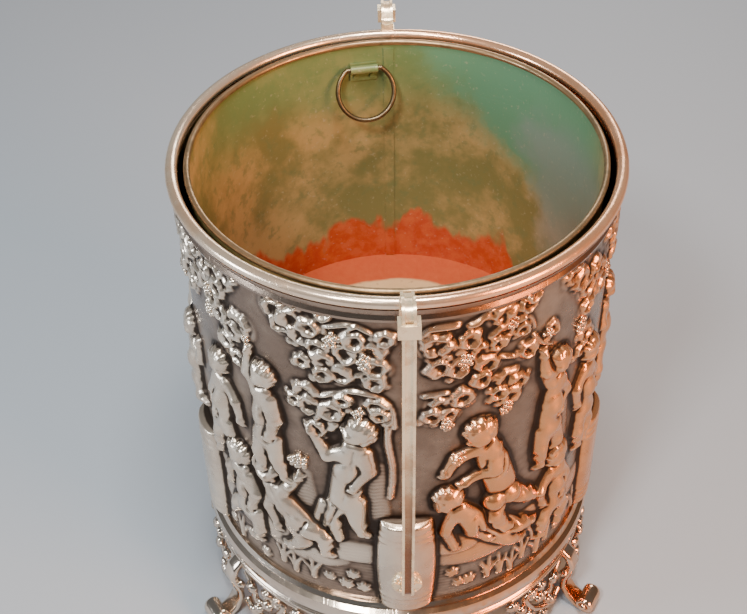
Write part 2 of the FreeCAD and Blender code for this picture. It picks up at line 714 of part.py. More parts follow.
def make_ring(side, turn):
    """A D-shaped ring: three quarters of a circle closed by a straight bar."""
    half = S["ring_bar"].value / 2
    drop = math.sqrt(S["ring_radius"].value ** 2 - half ** 2)
    gap = math.degrees(math.asin(half / S["ring_radius"].value))
    bow = new("Part::Torus", f"ring_{side}_bow", Radius1=S["ring_radius"],
              Radius2=S["ring_wire"], Angle3=360.0 - 2 * gap)
    gap_up = Rotation(Vector(0, 0, 1), gap)
    upright = Rotation(Vector(1, 0, 1), 180.0)
    bow.Placement = Placement(Vector(0, 0, -drop), upright.multiply(gap_up))
    bar = cylinder(f"ring_{side}_bar", S["ring_wire"], S["ring_bar"])
    at(bar, (0, half, 0), Vector(1, 0, 0), 90)
    solids = [bow, bar]
    for index, end in enumerate((-half, half)):
        ball = new("Part::Sphere", f"ring_{side}_corner_{index}", Radius=S["ring_wire"])
        solids.append(at(ball, (0, end, 0)))
    ring = fuse(f"drop_ring_{side}", solids)
    at(ring, (bar_reach(), 0, BAR_Z.value), Vector(0, 1, 0), S["ring_lean"].value)
    return turned(ring, turn)


# ---------------------------------------------------------------- the whole stand

def make_all():
    parts = {
        "drum_shell": make_drum(), "rim_wire": make_rim_wire(), "neck_band": make_neck_band(),
        "base_moulding": make_base_moulding(), "base_wire": make_base_wire(),
        "base_plate": make_base_plate(), "seat_ring": make_seat_ring(),
        "foot_screws": make_screws(), "foot_nuts": make_nuts(), "rivet_burrs": make_washers(),
        "liner_wall": make_liner_wall(), "liner_rim_bead": make_liner_bead(),
        "liner_floor": make_liner_floor(), "liner_seam": make_liner_seam(),
        "lug_rivets": make_lug_rivets(),
    }
    for name, turn in foot_turns().items():
        parts[f"foot_{name}"] = make_foot(name, turn)
    for side, turn in HANDLE_TURNS.items():
        parts[f"handle_strap_{side}"] = make_strap(side, turn)
        parts[f"handle_clip_{side}"] = make_clip(side, turn)
        parts[f"handle_collar_{side}"] = make_collar(side, turn)
        parts[f"handle_boss_{side}"] = make_boss(side, turn)
        parts[f"handle_rivets_{side}"] = make_rivets(side, turn)
    for side, turn in ring_turns().items():
        parts[f"ring_lug_{side}"] = make_lug(side, turn)
        parts[f"drop_ring_{side}"] = make_ring(side, turn)
    return parts


def check(parts):
    """Stops on any failed object or unsound shape."""
    for thing in DOC.Objects:
        if "Invalid" in thing.State or "Error" in thing.State:
            raise RuntimeError(f"{thing.Name} did not compute: {thing.State}")
    for name, thing in parts.items():
        if thing.Shape.isNull() or not thing.Shape.isValid() or not thing.Shape.Solids:
            raise RuntimeError(f"{name} has no sound shape")


def export(parts):
    os.makedirs("parts", exist_ok=True)
    for name, thing in sorted(parts.items()):
        thing.Label = name
        thing.Shape.exportStep(f"parts/{name}.step")
        size = thing.Shape.BoundBox
        print(f"{name}: {len(thing.Shape.Solids)} solid(s), {thing.Shape.Volume / 1000:.2f} cm3, "
              f"z {size.ZMin:.1f} to {size.ZMax:.1f}")


PARTS = make_all()
DOC.recompute()
check(PARTS)
export(PARTS)
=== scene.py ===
# %% [markdown]
# # A silver wine cooler, dressed for a picture
#
# The object is a bucket stand for one bottle of sparkling wine. A silver-plated drum with
# pressed figures stands on four cast feet. Two narrow strap handles stand off its wall, and a
# loose copper liner hangs inside. The measured frame comes first. It fixes every position,
# so the pieces made here only add detail to it.

# %% Load the frame and keep its box
import math
import bpy
import bmesh
import numpy as np
from mathutils import Matrix, Vector


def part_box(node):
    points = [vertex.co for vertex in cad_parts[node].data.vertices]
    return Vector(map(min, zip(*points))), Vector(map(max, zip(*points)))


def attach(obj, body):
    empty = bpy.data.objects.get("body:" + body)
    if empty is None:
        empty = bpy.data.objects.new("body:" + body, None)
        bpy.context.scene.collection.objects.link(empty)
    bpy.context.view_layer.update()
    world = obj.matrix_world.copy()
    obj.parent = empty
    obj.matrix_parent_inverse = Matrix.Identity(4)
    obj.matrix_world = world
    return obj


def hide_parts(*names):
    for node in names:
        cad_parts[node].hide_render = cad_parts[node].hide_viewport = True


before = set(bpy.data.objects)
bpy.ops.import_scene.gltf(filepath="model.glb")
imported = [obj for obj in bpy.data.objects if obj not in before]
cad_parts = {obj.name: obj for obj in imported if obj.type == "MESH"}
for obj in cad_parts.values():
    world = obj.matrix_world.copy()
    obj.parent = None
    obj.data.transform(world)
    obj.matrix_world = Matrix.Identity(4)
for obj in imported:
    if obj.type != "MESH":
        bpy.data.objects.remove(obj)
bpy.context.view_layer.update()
MM = 0.001

# %% [markdown]
# ## The eye
#
# The camera looks down into the cooler from the front, close enough for the drum to taper
# strongly. Its place is kept as a distance and two angles from the middle of the rim, because
# those can be changed one at a time. Its aim is kept as a yaw, a pitch and a small roll.

# %% Place the camera
RIM_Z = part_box("rim_wire")[1].z - 2.75 * MM
EYE_DISTANCE = 0.5966
EYE_HEIGHT_ANGLE = math.radians(35.8)
EYE_SIDE_ANGLE = math.radians(-2.3)
AIM_YAW = math.radians(0.9)
AIM_PITCH = math.radians(42.6)
AIM_ROLL = math.radians(-1.2)
SENSOR = 36.0
LENS = 1300 * SENSOR / 747


def place_camera():
    """Makes the scene's camera from its distance, its two angles and its aim."""
    level = math.cos(EYE_HEIGHT_ANGLE)
    eye = Vector((math.sin(EYE_SIDE_ANGLE) * level, -math.cos(EYE_SIDE_ANGLE) * level,
                  math.sin(EYE_HEIGHT_ANGLE))) * EYE_DISTANCE + Vector((0, 0, RIM_Z))
    flat = math.cos(AIM_PITCH)
    ahead = Vector((math.sin(AIM_YAW) * flat, math.cos(AIM_YAW) * flat, -math.sin(AIM_PITCH)))
    right = ahead.cross(Vector((0, 0, 1))).normalized()
    up = right.cross(ahead)
    turn_c, turn_s = math.cos(AIM_ROLL), math.sin(AIM_ROLL)
    right, up = turn_c * right + turn_s * up, turn_c * up - turn_s * right
    data = bpy.data.cameras.new("eye")
    data.lens = LENS
    data.sensor_width = SENSOR
    data.clip_start = 0.01
    camera = bpy.data.objects.new("eye", data)
    bpy.context.scene.collection.objects.link(camera)
    camera.matrix_world = Matrix(((right.x, up.x, -ahead.x, eye.x), (right.y, up.y, -ahead.y, eye.y),
                                  (right.z, up.z, -ahead.z, eye.z), (0, 0, 0, 1)))
    bpy.context.scene.camera = camera
    return camera


print("camera at", [round(v, 3) for v in place_camera().matrix_world.translation])

# %% [markdown]
# ## Floor and light
#
# Polished silver shows the room more than itself, so the lamps are wide and soft. A cool one
# on the left and a warm one on the right give the metal its two colours. A dim grey world fills
# the dark parts of the reflections.

# %% Make the floor
FLOOR_SIZE = 30.0
FLOOR_COLOUR = (0.30, 0.34, 0.39, 1)


def plain_material(name, colour, roughness):
    """A plain finish for what is only stage."""
    material = bpy.data.materials.new(name)
    material.use_nodes = True
    shader = material.node_tree.nodes["Principled BSDF"]
    shader.inputs["Base Color"].default_value = colour
    shader.inputs["Roughness"].default_value = roughness
    return material


def make_floor():
    """One large pale sheet at the height of the feet."""
    half = FLOOR_SIZE / 2
    mesh = bpy.data.meshes.new("floor")
    mesh.from_pydata([(-half, -half, 0), (half, -half, 0), (half, half, 0), (-half, half, 0)],
                     [], [(0, 1, 2, 3)])
    floor = bpy.data.objects.new("floor", mesh)
    bpy.context.scene.collection.objects.link(floor)
    mesh.materials.append(plain_material("pale_floor", FLOOR_COLOUR, 0.6))
    return floor


print("floor", make_floor().dimensions[:2])

# %% Hang the lamps
COOL = (0.86, 0.93, 1.0)
WARM = (1.0, 0.46, 0.19)
NEUTRAL = (1.0, 0.95, 0.88)


def lamp(name, place, target, power, size, colour):
    """A soft square lamp that faces a target."""
    data = bpy.data.lights.new(name, "AREA")
    data.energy = power
    data.size = size
    data.color = colour
    item = bpy.data.objects.new(name, data)
    bpy.context.scene.collection.objects.link(item)
    item.location = place
    aim = Vector(target) - Vector(place)
    item.rotation_euler = aim.to_track_quat("-Z", "Y").to_euler()
    return item


MIDDLE = (0, 0, 0.17)
lamp("key", (-0.45, -0.85, 1.35), MIDDLE, 19, 0.22, NEUTRAL)
lamp("cool_left", (-1.15, -0.35, 0.45), MIDDLE, 10, 0.35, COOL)
lamp("warm_right", (0.95, -0.75, 0.55), MIDDLE, 27, 0.5, WARM)
lamp("inside", (0.05, -0.25, 1.3), (0, 0.05, 0.2), 15, 0.3, NEUTRAL)
lamp("back", (0.3, 1.2, 0.8), MIDDLE, 6, 0.5, NEUTRAL)
world = bpy.data.worlds.new("studio")
bpy.context.scene.world = world
world.use_nodes = True
WORLD_STRENGTH = 0.20
world.node_tree.nodes["Background"].inputs["Color"].default_value = (0.75, 0.8, 0.85, 1)
world.node_tree.nodes["Background"].inputs["Strength"].default_value = WORLD_STRENGTH

# %% [markdown]
# ## Finishes
#
# Each finish is a small tree of nodes. Three effects are shared by several metals, so each is a
# node group that is built once: blotchy tarnish, worn edges and fine scratches. The dark film
# that polish leaves in hollows is laid in the metal itself. A group gives out only a mask or a
# normal. The metal itself, the Principled shader, stays in each material.

# %% Helpers that wire nodes


class Tree:
    """A node tree with short ways to add nodes and to join them."""

    def __init__(self, tree):
        self.tree = tree

    def add(self, kind, inputs=(), **settings):
        """Adds a node, sets its properties, and fills its inputs with values or other outputs."""
        node = self.tree.nodes.new(kind)
        for key, value in settings.items():
            setattr(node, key, value)
        for key, value in dict(inputs).items():
            if isinstance(value, bpy.types.NodeSocket):
                self.tree.links.new(value, node.inputs[key])
            else:
                node.inputs[key].default_value = value
        return node

    def math(self, operation, first, second=0.0, clamp=False):
        """A Math node's result."""
        return self.add("ShaderNodeMath", {0: first, 1: second}, operation=operation,
                        use_clamp=clamp).outputs[0]

    def noise(self, vector, scale, detail=4.0, roughness=0.55):
        """Plain noise from 0 to 1."""
        return self.add("ShaderNodeTexNoise", {"Vector": vector, "Scale": scale, "Detail": detail,
                                               "Roughness": roughness}).outputs["Fac"]

    def ramp(self, value, low, high):
        """A smooth step from 0 at low to 1 at high."""
        return self.add("ShaderNodeMapRange", {"Value": value, "From Min": low, "From Max": high},
                        interpolation_type="SMOOTHSTEP").outputs["Result"]

    def axes(self, vector):
        """The three parts of a vector."""
        return self.add("ShaderNodeSeparateXYZ", {0: vector}).outputs[:]

    def mix(self, share, first, second):
        """A mix of two colours by a share."""
        node = self.add("ShaderNodeMix", data_type="RGBA")
        for key, value in ((0, share), (6, first), (7, second)):
            if isinstance(value, bpy.types.NodeSocket):
                self.tree.links.new(value, node.inputs[key])
            else:
                node.inputs[key].default_value = value
        return node.outputs[2]

    def place(self):
        """The point on the object, in metres."""
        return self.add("ShaderNodeTexCoord").outputs["Object"]


def new_group(name, inputs, outputs):
    """An empty node group with named sockets, and its input and output nodes."""
    group = bpy.data.node_groups.new(name, "ShaderNodeTree")
    for label, kind, value in inputs:
        socket = group.interface.new_socket(label, in_out="INPUT", socket_type=kind)
        if value is not None:
            socket.default_value = value
    for label, kind in outputs:
        group.interface.new_socket(label, in_out="OUTPUT", socket_type=kind)
    tree = Tree(group)
    return group, tree, tree.add("NodeGroupInput"), tree.add("NodeGroupOutput")


FLOAT, VECTOR = "NodeSocketFloat", "NodeSocketVector"

# %% Blotchy tarnish


def build_tarnish():
    """Large and small cloudy patches, as air and handling leave on plate."""
    group, t, given, out = new_group(
        "tarnish", [("Place", VECTOR, None), ("Patch Scale", FLOAT, 20.0), ("Amount", FLOAT, 0.5)],
        [("Mask", FLOAT)])
    large = t.noise(given.outputs["Place"], given.outputs["Patch Scale"], 3.0)
    small = t.noise(given.outputs["Place"], t.math("MULTIPLY", given.outputs["Patch Scale"], 6.0), 5.0)
    both = t.math("ADD", t.math("MULTIPLY", large, 0.65), t.math("MULTIPLY", small, 0.35))
    mask = t.ramp(both, 0.42, 0.66)
    group.links.new(t.math("MULTIPLY", mask, given.outputs["Amount"]), out.inputs["Mask"])
    return group


TARNISH = build_tarnish()

# %% Worn edges


def build_edge_wear():
    """Edges that stand out are rubbed bright. Pointiness finds them, and noise breaks them up."""
    group, t, given, out = new_group(
        "edge_wear", [("Place", VECTOR, None), ("Amount", FLOAT, 0.6)], [("Mask", FLOAT)])
    point = t.add("ShaderNodeNewGeometry").outputs["Pointiness"]
    edge = t.ramp(point, 0.505, 0.56)
    broken = t.ramp(t.noise(given.outputs["Place"], 160.0), 0.3, 0.6)
    mask = t.math("MULTIPLY", t.math("MULTIPLY", edge, broken), given.outputs["Amount"])
    group.links.new(mask, out.inputs["Mask"])
    return group


EDGE_WEAR = build_edge_wear()

# %% Fine scratches and a soft unevenness


def build_scratches():
    """Thin lines in two directions on a surface that is never quite flat. It gives out a normal."""
    group, t, given, out = new_group(
        "scratches", [("Place", VECTOR, None), ("Depth", FLOAT, 0.1), ("Ripple", FLOAT, 0.2)],
        [("Normal", VECTOR), ("Lines", FLOAT)])
    lines = None
    for turn, stretch in ((0.4, (900, 60, 60)), (-0.7, (60, 70, 1100))):
        laid = t.add("ShaderNodeMapping", {"Vector": given.outputs["Place"],
                                           "Rotation": (turn, turn * 0.5, turn), "Scale": stretch})
        found = t.ramp(t.noise(laid.outputs[0], 1.0, 2.0), 0.62, 0.72)
        lines = found if lines is None else t.math("MAXIMUM", lines, found)
    ripple = t.noise(given.outputs["Place"], 90.0, 2.0)
    soft = t.add("ShaderNodeBump", {"Strength": given.outputs["Ripple"], "Distance": 0.001,
                                    "Height": ripple})
    cut = t.add("ShaderNodeBump", {"Strength": given.outputs["Depth"], "Distance": 0.0002,
                                   "Height": lines, "Normal": soft.outputs[0]}, invert=True)
    group.links.new(cut.outputs[0], out.inputs["Normal"])
    group.links.new(lines, out.inputs["Lines"])
    return group


SCRATCHES = build_scratches()


def use_group(t, group, **values):
    """Places a group in a material and fills its inputs. Underscores stand for spaces."""
    node = t.add("ShaderNodeGroup", node_tree=group)
    for key, value in values.items():
        socket = node.inputs[key.replace("_", " ")]
        if isinstance(value, bpy.types.NodeSocket):
            t.tree.links.new(value, socket)
        else:
            socket.default_value = value
    return node


print("groups", [g.name for g in bpy.data.node_groups])

# %% The start and the end of every finish


def new_finish(name, metallic):
    """An empty material, with its tree and its Principled shader."""
    material = bpy.data.materials.new(name)
    material.use_nodes = True
    shader = material.node_tree.nodes["Principled BSDF"]
    shader.inputs["Metallic"].default_value = metallic
    return material, Tree(material.node_tree), shader


def close_finish(t, shader, colour, rough, normal):
    """Gives the shader its colour, its roughness and its normal."""
    t.tree.links.new(colour, shader.inputs["Base Color"])
    t.tree.links.new(rough, shader.inputs["Roughness"])
    t.tree.links.new(normal, shader.inputs["Normal"])


# %% Metals from one pattern
# Painted warm light: the copper tint laid on the right side of the plate, and where across the drum it
# starts and where it is full.
WARM_LIGHT_TINT = (1.0, 0.50, 0.23, 1)
WARM_LIGHT_START, WARM_LIGHT_FULL = 0.012, 0.062
GROUND_BROWN = (0.23, 0.165, 0.125, 1)
FILM_BLACK = (0.022, 0.014, 0.010, 1)
# Heights over which the painted shade in a strap's sunk middle fades out towards its top.
STRAP_SHADE_FADE_LOW, STRAP_SHADE_FADE_HIGH = 0.14, 0.25
GROOVE_HALF, BORDER_START = 0.0013, 0.0020
SCRATCH_DEPTH = 0.15
EDGE_RUB = 0.5


def metal(name, bright, dull, roughness, patch=20.0, tarnish=0.5, hollow=0.0, ripple=0.15,
          warm_light_share=0.0, metallic=1.0, strap_groove_shade=None):
    """A plated or drawn metal: bright where rubbed, dull in patches, black in its hollows. On
    the right a copper tint is painted light from the warm lamp, and a dark brown tint is painted shade in
    the sunk middle of a strap below its top."""
    material, t, shader = new_finish(name, metallic)
    place = t.place()
    patches = use_group(t, TARNISH, Place=place, Patch_Scale=patch, Amount=tarnish).outputs["Mask"]
    worn = use_group(t, EDGE_WEAR, Place=place, Amount=EDGE_RUB).outputs["Mask"]
    marks = use_group(t, SCRATCHES, Place=place, Depth=SCRATCH_DEPTH, Ripple=ripple)
    across, _, height = t.axes(place)
    colour = t.mix(patches, bright, dull)
    rough = t.math("ADD", roughness, t.math("MULTIPLY", patches, 0.16))
    # Painted light: the right side is tinted copper, as the warm lamp there colours it. Noise breaks the
    # edge.
    if warm_light_share:
        warm_side_place = t.math("ADD", across, t.math("MULTIPLY", t.noise(place, 24.0, 3.0), 0.06))
        share = t.math("MULTIPLY", t.ramp(warm_side_place, WARM_LIGHT_START, WARM_LIGHT_FULL), warm_light_share)
        tint = t.add("ShaderNodeMix", {0: 1.0}, data_type="RGBA", blend_type="MULTIPLY")
        t.tree.links.new(colour, tint.inputs[6])
        tint.inputs[7].default_value = WARM_LIGHT_TINT
        colour = t.mix(share, colour, tint.outputs[2])
    # Painted shade: the sunk middle of a strap is tinted dark brown below its top. The top and the raised
    # borders keep the bright colour.
    if strap_groove_shade:
        height = t.math("ADD", height, t.math("MULTIPLY", t.noise(place, 40.0, 3.0), 0.05))
        from_middle = t.math("ABSOLUTE", across)
        unshaded = t.math("MAXIMUM", t.ramp(height, STRAP_SHADE_FADE_LOW, STRAP_SHADE_FADE_HIGH),
                         t.ramp(from_middle, GROOVE_HALF, BORDER_START))
        colour = t.mix(unshaded, strap_groove_shade, colour)
    if hollow:
        raised = t.add("ShaderNodeAttribute", attribute_name="raised").outputs["Fac"]
        colour = t.mix(t.ramp(raised, 0.0, 0.55), t.mix(patches, GROUND_BROWN, dull), colour)
        depth = t.add("ShaderNodeAttribute", attribute_name="hollow").outputs["Fac"]
        broken = t.noise(place, 260.0, 3.0)
        film = t.math("MULTIPLY", t.ramp(t.math("ADD", depth, t.math("MULTIPLY", broken, 0.2)),
                                         0.2, 0.62), hollow)
        colour = t.mix(film, colour, FILM_BLACK)
        rough = t.math("ADD", rough, t.math("MULTIPLY", film, 0.25))
    colour = t.mix(worn, colour, bright)
    rough = t.math("SUBTRACT", rough, t.math("MULTIPLY", worn, 0.08), clamp=True)
    close_finish(t, shader, colour, rough, marks.outputs["Normal"])
    return material


# The copper share of each metal is painted warm light on the right side.
relief_silver = metal("relief_silver", (0.74, 0.64, 0.52, 1), (0.44, 0.345, 0.27, 1), 0.22,
                      tarnish=0.55, hollow=0.95, ripple=0.14, warm_light_share=0.95, metallic=0.88)
grape_silver = metal("grape_silver", (0.74, 0.64, 0.52, 1), (0.44, 0.345, 0.27, 1), 0.20,
                     tarnish=0.6, ripple=0.1, warm_light_share=0.95, metallic=0.88)
band_silver = metal("band_silver", (0.74, 0.63, 0.52, 1), (0.46, 0.35, 0.27, 1), 0.14,
                    tarnish=0.6, ripple=0.18, warm_light_share=0.85)
rim_silver = metal("rim_silver", (0.96, 0.78, 0.60, 1), (0.62, 0.38, 0.22, 1), 0.20,
                   tarnish=0.7, ripple=0.2, warm_light_share=0.6, metallic=0.85)
bead_copper = metal("bead_copper", (0.34, 0.22, 0.12, 1), (0.15, 0.11, 0.06, 1), 0.32,
                    patch=60.0, tarnish=0.9, metallic=0.8)
# Painted shade: the neck band under the rim gets a dark colour that stands in for the shaded cove there.
shaded_neck_silver = metal("shaded_neck_silver", (0.36, 0.27, 0.21, 1), (0.22, 0.155, 0.115, 1), 0.22,
                    tarnish=0.6, warm_light_share=0.7)
# The strap's dark brown tint is painted shade in its sunk middle.
strap_silver = metal("strap_silver", (0.95, 0.80, 0.56, 1), (0.60, 0.38, 0.22, 1), 0.24,
                     patch=70.0, tarnish=0.8, ripple=0.5, metallic=0.7,
                     strap_groove_shade=(0.20, 0.085, 0.04, 1))
old_brass = metal("old_brass", (0.20, 0.15, 0.09, 1), (0.09, 0.065, 0.04, 1), 0.36,
                  patch=90.0, tarnish=0.8)
fixing_brass = metal("fixing_brass", (0.62, 0.50, 0.30, 1), (0.38, 0.28, 0.16, 1), 0.30,
                     patch=120.0, tarnish=0.6)
print("metals", [m.name for m in bpy.data.materials])

# %% [markdown]
# ## The copper liner
#
# Water and ice have stained the liner in bands: brown-green over most of the wall, blue-green
# high on the right, grey-blue further round, and bare orange copper low down where the plate
# has gone. The stain follows the place on the wall, so its masks are made from the height and
# the angle round the liner, each edge broken by noise.

# %% Stained copper for the wall
WALL_SHEEN = 0.2
GREEN_LOW, GREEN_HIGH = 0.222, 0.250
TEAL_LOW, TEAL_HIGH = 0.258, 0.290
STEEL_START, STEEL_FULL = 0.068, 0.085
STEEL_TOP, STEEL_FOOT = 0.262, 0.235
FLAME_TOP, FLAME_FULL = 0.157, 0.148
FLAME_REACH = 0.075


def build_stained_copper():
    """Green, brown and orange stains over copper."""
    material, t, shader = new_finish("stained_copper", WALL_SHEEN)
    place = t.place()
    x, y, z = t.axes(place)
    cloud = t.noise(place, 28.0, 5.0, 0.6)
    fine = t.noise(place, 150.0, 5.0, 0.65)
    speck = t.noise(place, 420.0, 3.0, 0.6)

    def broken(value, amount):
        """A place on the wall, shifted by the clouds, so that an edge there is ragged."""
        return t.math("ADD", value, t.math("MULTIPLY", t.math("SUBTRACT", cloud, 0.5), amount))

    def below(height, top, foot):
        """A mask that is 0 over top and 1 under foot."""
        return t.ramp(t.math("MULTIPLY", height, -1.0), -top, -foot)

    colour = t.mix(t.ramp(cloud, 0.40, 0.62), (0.160, 0.150, 0.052, 1), (0.39, 0.265, 0.105, 1))
    colour = t.mix(t.math("MULTIPLY", t.ramp(fine, 0.5, 0.68), 0.6), colour, (0.12, 0.15, 0.06, 1))
    green = t.math("MULTIPLY", t.ramp(broken(z, 0.06), GREEN_LOW, GREEN_HIGH), t.ramp(y, 0.0, 0.06))
    colour = t.mix(t.math("MULTIPLY", green, 0.75), colour, (0.10, 0.19, 0.075, 1))
    slant = broken(t.math("ADD", t.math("MULTIPLY", x, 0.9), z), 0.08)
    teal = t.math("MULTIPLY", t.ramp(slant, TEAL_LOW, TEAL_HIGH), t.ramp(y, -0.03, 0.03))
    colour = t.mix(teal, colour, (0.10, 0.235, 0.135, 1))
    steel = t.math("MULTIPLY", t.ramp(broken(x, 0.05), STEEL_START, STEEL_FULL),
                   below(z, STEEL_TOP, STEEL_FOOT))
    colour = t.mix(t.math("MULTIPLY", steel, 0.7), colour, (0.19, 0.23, 0.21, 1))
    flame = t.add("ShaderNodeMapping", {"Vector": place, "Scale": (60, 60, 22)}).outputs[0]
    tongue = t.math("SUBTRACT", t.noise(flame, 1.0, 3.0, 0.5), 0.45)
    orange = below(t.math("SUBTRACT", z, t.math("MULTIPLY", tongue, FLAME_REACH)), FLAME_TOP, FLAME_FULL)
    hot = t.mix(t.ramp(fine, 0.35, 0.65), (0.42, 0.045, 0.012, 1), (0.50, 0.095, 0.028, 1))
    colour = t.mix(orange, colour, hot)
    pale = t.ramp(speck, 0.60, 0.74)
    colour = t.mix(t.math("MULTIPLY", pale, 0.35), colour, (0.42, 0.38, 0.26, 1))
    marks = use_group(t, SCRATCHES, Place=place, Depth=0.25, Ripple=0.12)
    rough = t.math("ADD", 0.30, t.math("MULTIPLY", cloud, 0.22))
    close_finish(t, shader, colour, rough, marks.outputs["Normal"])
    return material


stained_copper = build_stained_copper()
print("liner wall finish", stained_copper.name)

# %% Pale worn copper for the floor
FLOOR_SHEEN = 0.15
RING_START, RING_FULL = 0.0635, 0.0665


def build_scoured_copper():
    """A pinkish tan middle, scoured by bottles, with an orange ring round it."""
    material, t, shader = new_finish("scoured_copper", FLOOR_SHEEN)
    place = t.place()
    flat = t.add("ShaderNodeMapping", {"Vector": place, "Scale": (1, 1, 0)}).outputs[0]
    away = t.add("ShaderNodeVectorMath", {0: flat}, operation="LENGTH").outputs["Value"]
    cloud = t.noise(place, 45.0, 5.0, 0.6)
    speck = t.noise(place, 300.0, 4.0, 0.6)
    away = t.math("ADD", away, t.math("MULTIPLY", t.math("SUBTRACT", cloud, 0.5), 0.006))
    ring = t.ramp(away, RING_START, RING_FULL)
    tan = t.mix(cloud, (0.55, 0.31, 0.15, 1), (0.74, 0.48, 0.25, 1))
    tan = t.mix(t.math("MULTIPLY", t.ramp(speck, 0.58, 0.7), 0.5), tan, (0.30, 0.16, 0.09, 1))
    hot = t.mix(speck, (0.40, 0.05, 0.014, 1), (0.48, 0.10, 0.032, 1))
    colour = t.mix(ring, tan, hot)
    marks = use_group(t, SCRATCHES, Place=place, Depth=0.3, Ripple=0.2)
    rough = t.math("ADD", 0.38, t.math("MULTIPLY", cloud, 0.2))
    close_finish(t, shader, colour, rough, marks.outputs["Normal"])
    return material


scoured_copper = build_scoured_copper()
print("liner floor finish", scoured_copper.name)

# %% [markdown]
# ## The pressed wall
#
# The drum of such a cooler is a sheet pressed in a steel mould, so one picture repeats on the
# front and on the back. A pressed sheet is a height over a plain wall. That is why it is made
# as a field of heights over half a turn, where every limb, leaf and stave is one soft lump in
# the field. The field is then wrapped round the drum twice. Sculpting with single meshes would
# give hundreds of loose pieces that cross each other.

# %% The empty field
WALL_R = 101.0
WALL_IN_R = 99.72
DRUM_FOOT = 44.0
DRUM_TOP = 265.5
FIELD_LOW = 62.6
FIELD_HIGH = 258.2
STEP = 0.52
PER_DEG = math.radians(WALL_R)
COLUMNS = int(round(180 * PER_DEG / STEP / 4)) * 4
ROWS = int(round((FIELD_HIGH - FIELD_LOW) / STEP)) + 1
SIDE = 40
KNEE = 4.8
HEADROOM = 2.6
column_arc = (np.arange(-SIDE, COLUMNS + SIDE) * 180 / COLUMNS - 90) * PER_DEG
row_height = np.linspace(FIELD_LOW, FIELD_HIGH, ROWS)
ARC, UP = np.meshgrid(column_arc, row_height)
field = np.zeros_like(ARC)
random = np.random.default_rng(7)
print("field", field.shape)


def soften(values, reach):
    """A blurred copy: three passes of a running mean along each direction."""
    span = max(1, int(round(reach / STEP)))
    result = values
    for axis in (0, 1):
        for _ in range(3):
            pad = [(0, 0), (0, 0)]
            pad[axis] = (span + 1, span)
            total = np.cumsum(np.pad(result, pad, mode="edge"), axis=axis)
            size = result.shape[axis]
            high = np.take(total, range(2 * span + 1, 2 * span + 1 + size), axis=axis)
            low = np.take(total, range(0, size), axis=axis)
            result = (high - low) / (2 * span + 1)
    return result


def smooth(values, low, high):
    """A smooth step from 0 at low to 1 at high."""
    share = np.clip((values - low) / (high - low), 0, 1)
    return share * share * (3 - 2 * share)


# %% A layer of lumps
FUSE = 3.5
ROOT_REACH = 9.0


class Layer:
    """A figure, leaf or branch in the making. Its lumps run into each other softly."""

    def __init__(self, arc, up, reach):
        columns = np.searchsorted(column_arc, (arc - reach, arc + reach))
        rows = np.searchsorted(row_height, (up - reach, up + reach))
        self.cut = (slice(rows[0], rows[1]), slice(columns[0], columns[1]))
        self.x, self.z = ARC[self.cut], UP[self.cut]
        self.sum = np.zeros_like(self.x)
        self.marks = np.zeros_like(self.x)

    def put(self, height):
        """Adds one lump to the layer."""
        self.sum += np.maximum(height, 0) ** FUSE

    def limb(self, start, end, r_start, r_end, rise_start, rise_end=None):
        """A rounded, tapered rod lying on the wall from one point to another."""
        rise_end = rise_start if rise_end is None else rise_end
        along_x, along_z = end[0] - start[0], end[1] - start[1]
        length = max(along_x ** 2 + along_z ** 2, 1e-6)
        share = np.clip(((self.x - start[0]) * along_x + (self.z - start[1]) * along_z) / length, 0, 1)
        away = np.hypot(self.x - start[0] - share * along_x, self.z - start[1] - share * along_z)
        radius = r_start + (r_end - r_start) * share
        rise = rise_start + (rise_end - rise_start) * share
        self.put(rise * np.sqrt(np.maximum(1 - (away / radius) ** 2, 0)))

    def ball(self, at, radius, rise, squeeze=1.0, turn=0.0):
        """A round or egg-shaped lump."""
        c, s = math.cos(turn), math.sin(turn)
        u = (self.x - at[0]) * c + (self.z - at[1]) * s
        v = (self.z - at[1]) * c - (self.x - at[0]) * s
        self.put(rise * np.sqrt(np.maximum(1 - (u / radius) ** 2 - (v / (radius * squeeze)) ** 2, 0)))

    def dent(self, at, radius, depth, squeeze=1.0, turn=0.0):
        """A soft hollow cut into the finished layer."""
        c, s = math.cos(turn), math.sin(turn)
        u = (self.x - at[0]) * c + (self.z - at[1]) * s
        v = (self.z - at[1]) * c - (self.x - at[0]) * s
        self.marks -= depth * np.exp(-((u / radius) ** 2 + (v / (radius * squeeze)) ** 2))

    def groove(self, start, end, width, depth):
        """A soft line cut into the finished layer, or a ridge where depth is negative."""
        along_x, along_z = end[0] - start[0], end[1] - start[1]
        length = max(along_x ** 2 + along_z ** 2, 1e-6)
        share = np.clip(((self.x - start[0]) * along_x + (self.z - start[1]) * along_z) / length, 0, 1)
        away = np.hypot(self.x - start[0] - share * along_x, self.z - start[1] - share * along_z)
        self.marks -= depth * np.exp(-(away / width) ** 2)

    def height(self):
        """The layer's height, with its marks."""
        body = self.sum ** (1 / FUSE)
        return np.maximum(body + self.marks * smooth(body, 0.1, 0.7), 0) * (body > 0)

    def press(self, lift=0.7, ride=0.45, ditch=0.55, halo=1.5, root=None):
        """Presses the layer into the field: what lies below shows through, and its edge is cut
        round. Near its root, where it grows out of another part, the edge is left soft."""
        body = self.height()
        under = field[self.cut]
        inside = smooth(body, 0.02, 0.5)
        loose = 1.0
        if root is not None:
            away = np.hypot(self.x - root[0], self.z - root[1])
            loose = smooth(away, ROOT_REACH * 0.4, ROOT_REACH)
        around = np.clip(soften(inside, halo) * 2.2, 0, 1) * (1 - inside)
        lowered = under * (1 - ditch * around * loose)
        top = body + lift * inside * loose + ride * soften(under, 1.6) * inside
        field[self.cut] = np.maximum(lowered, top)


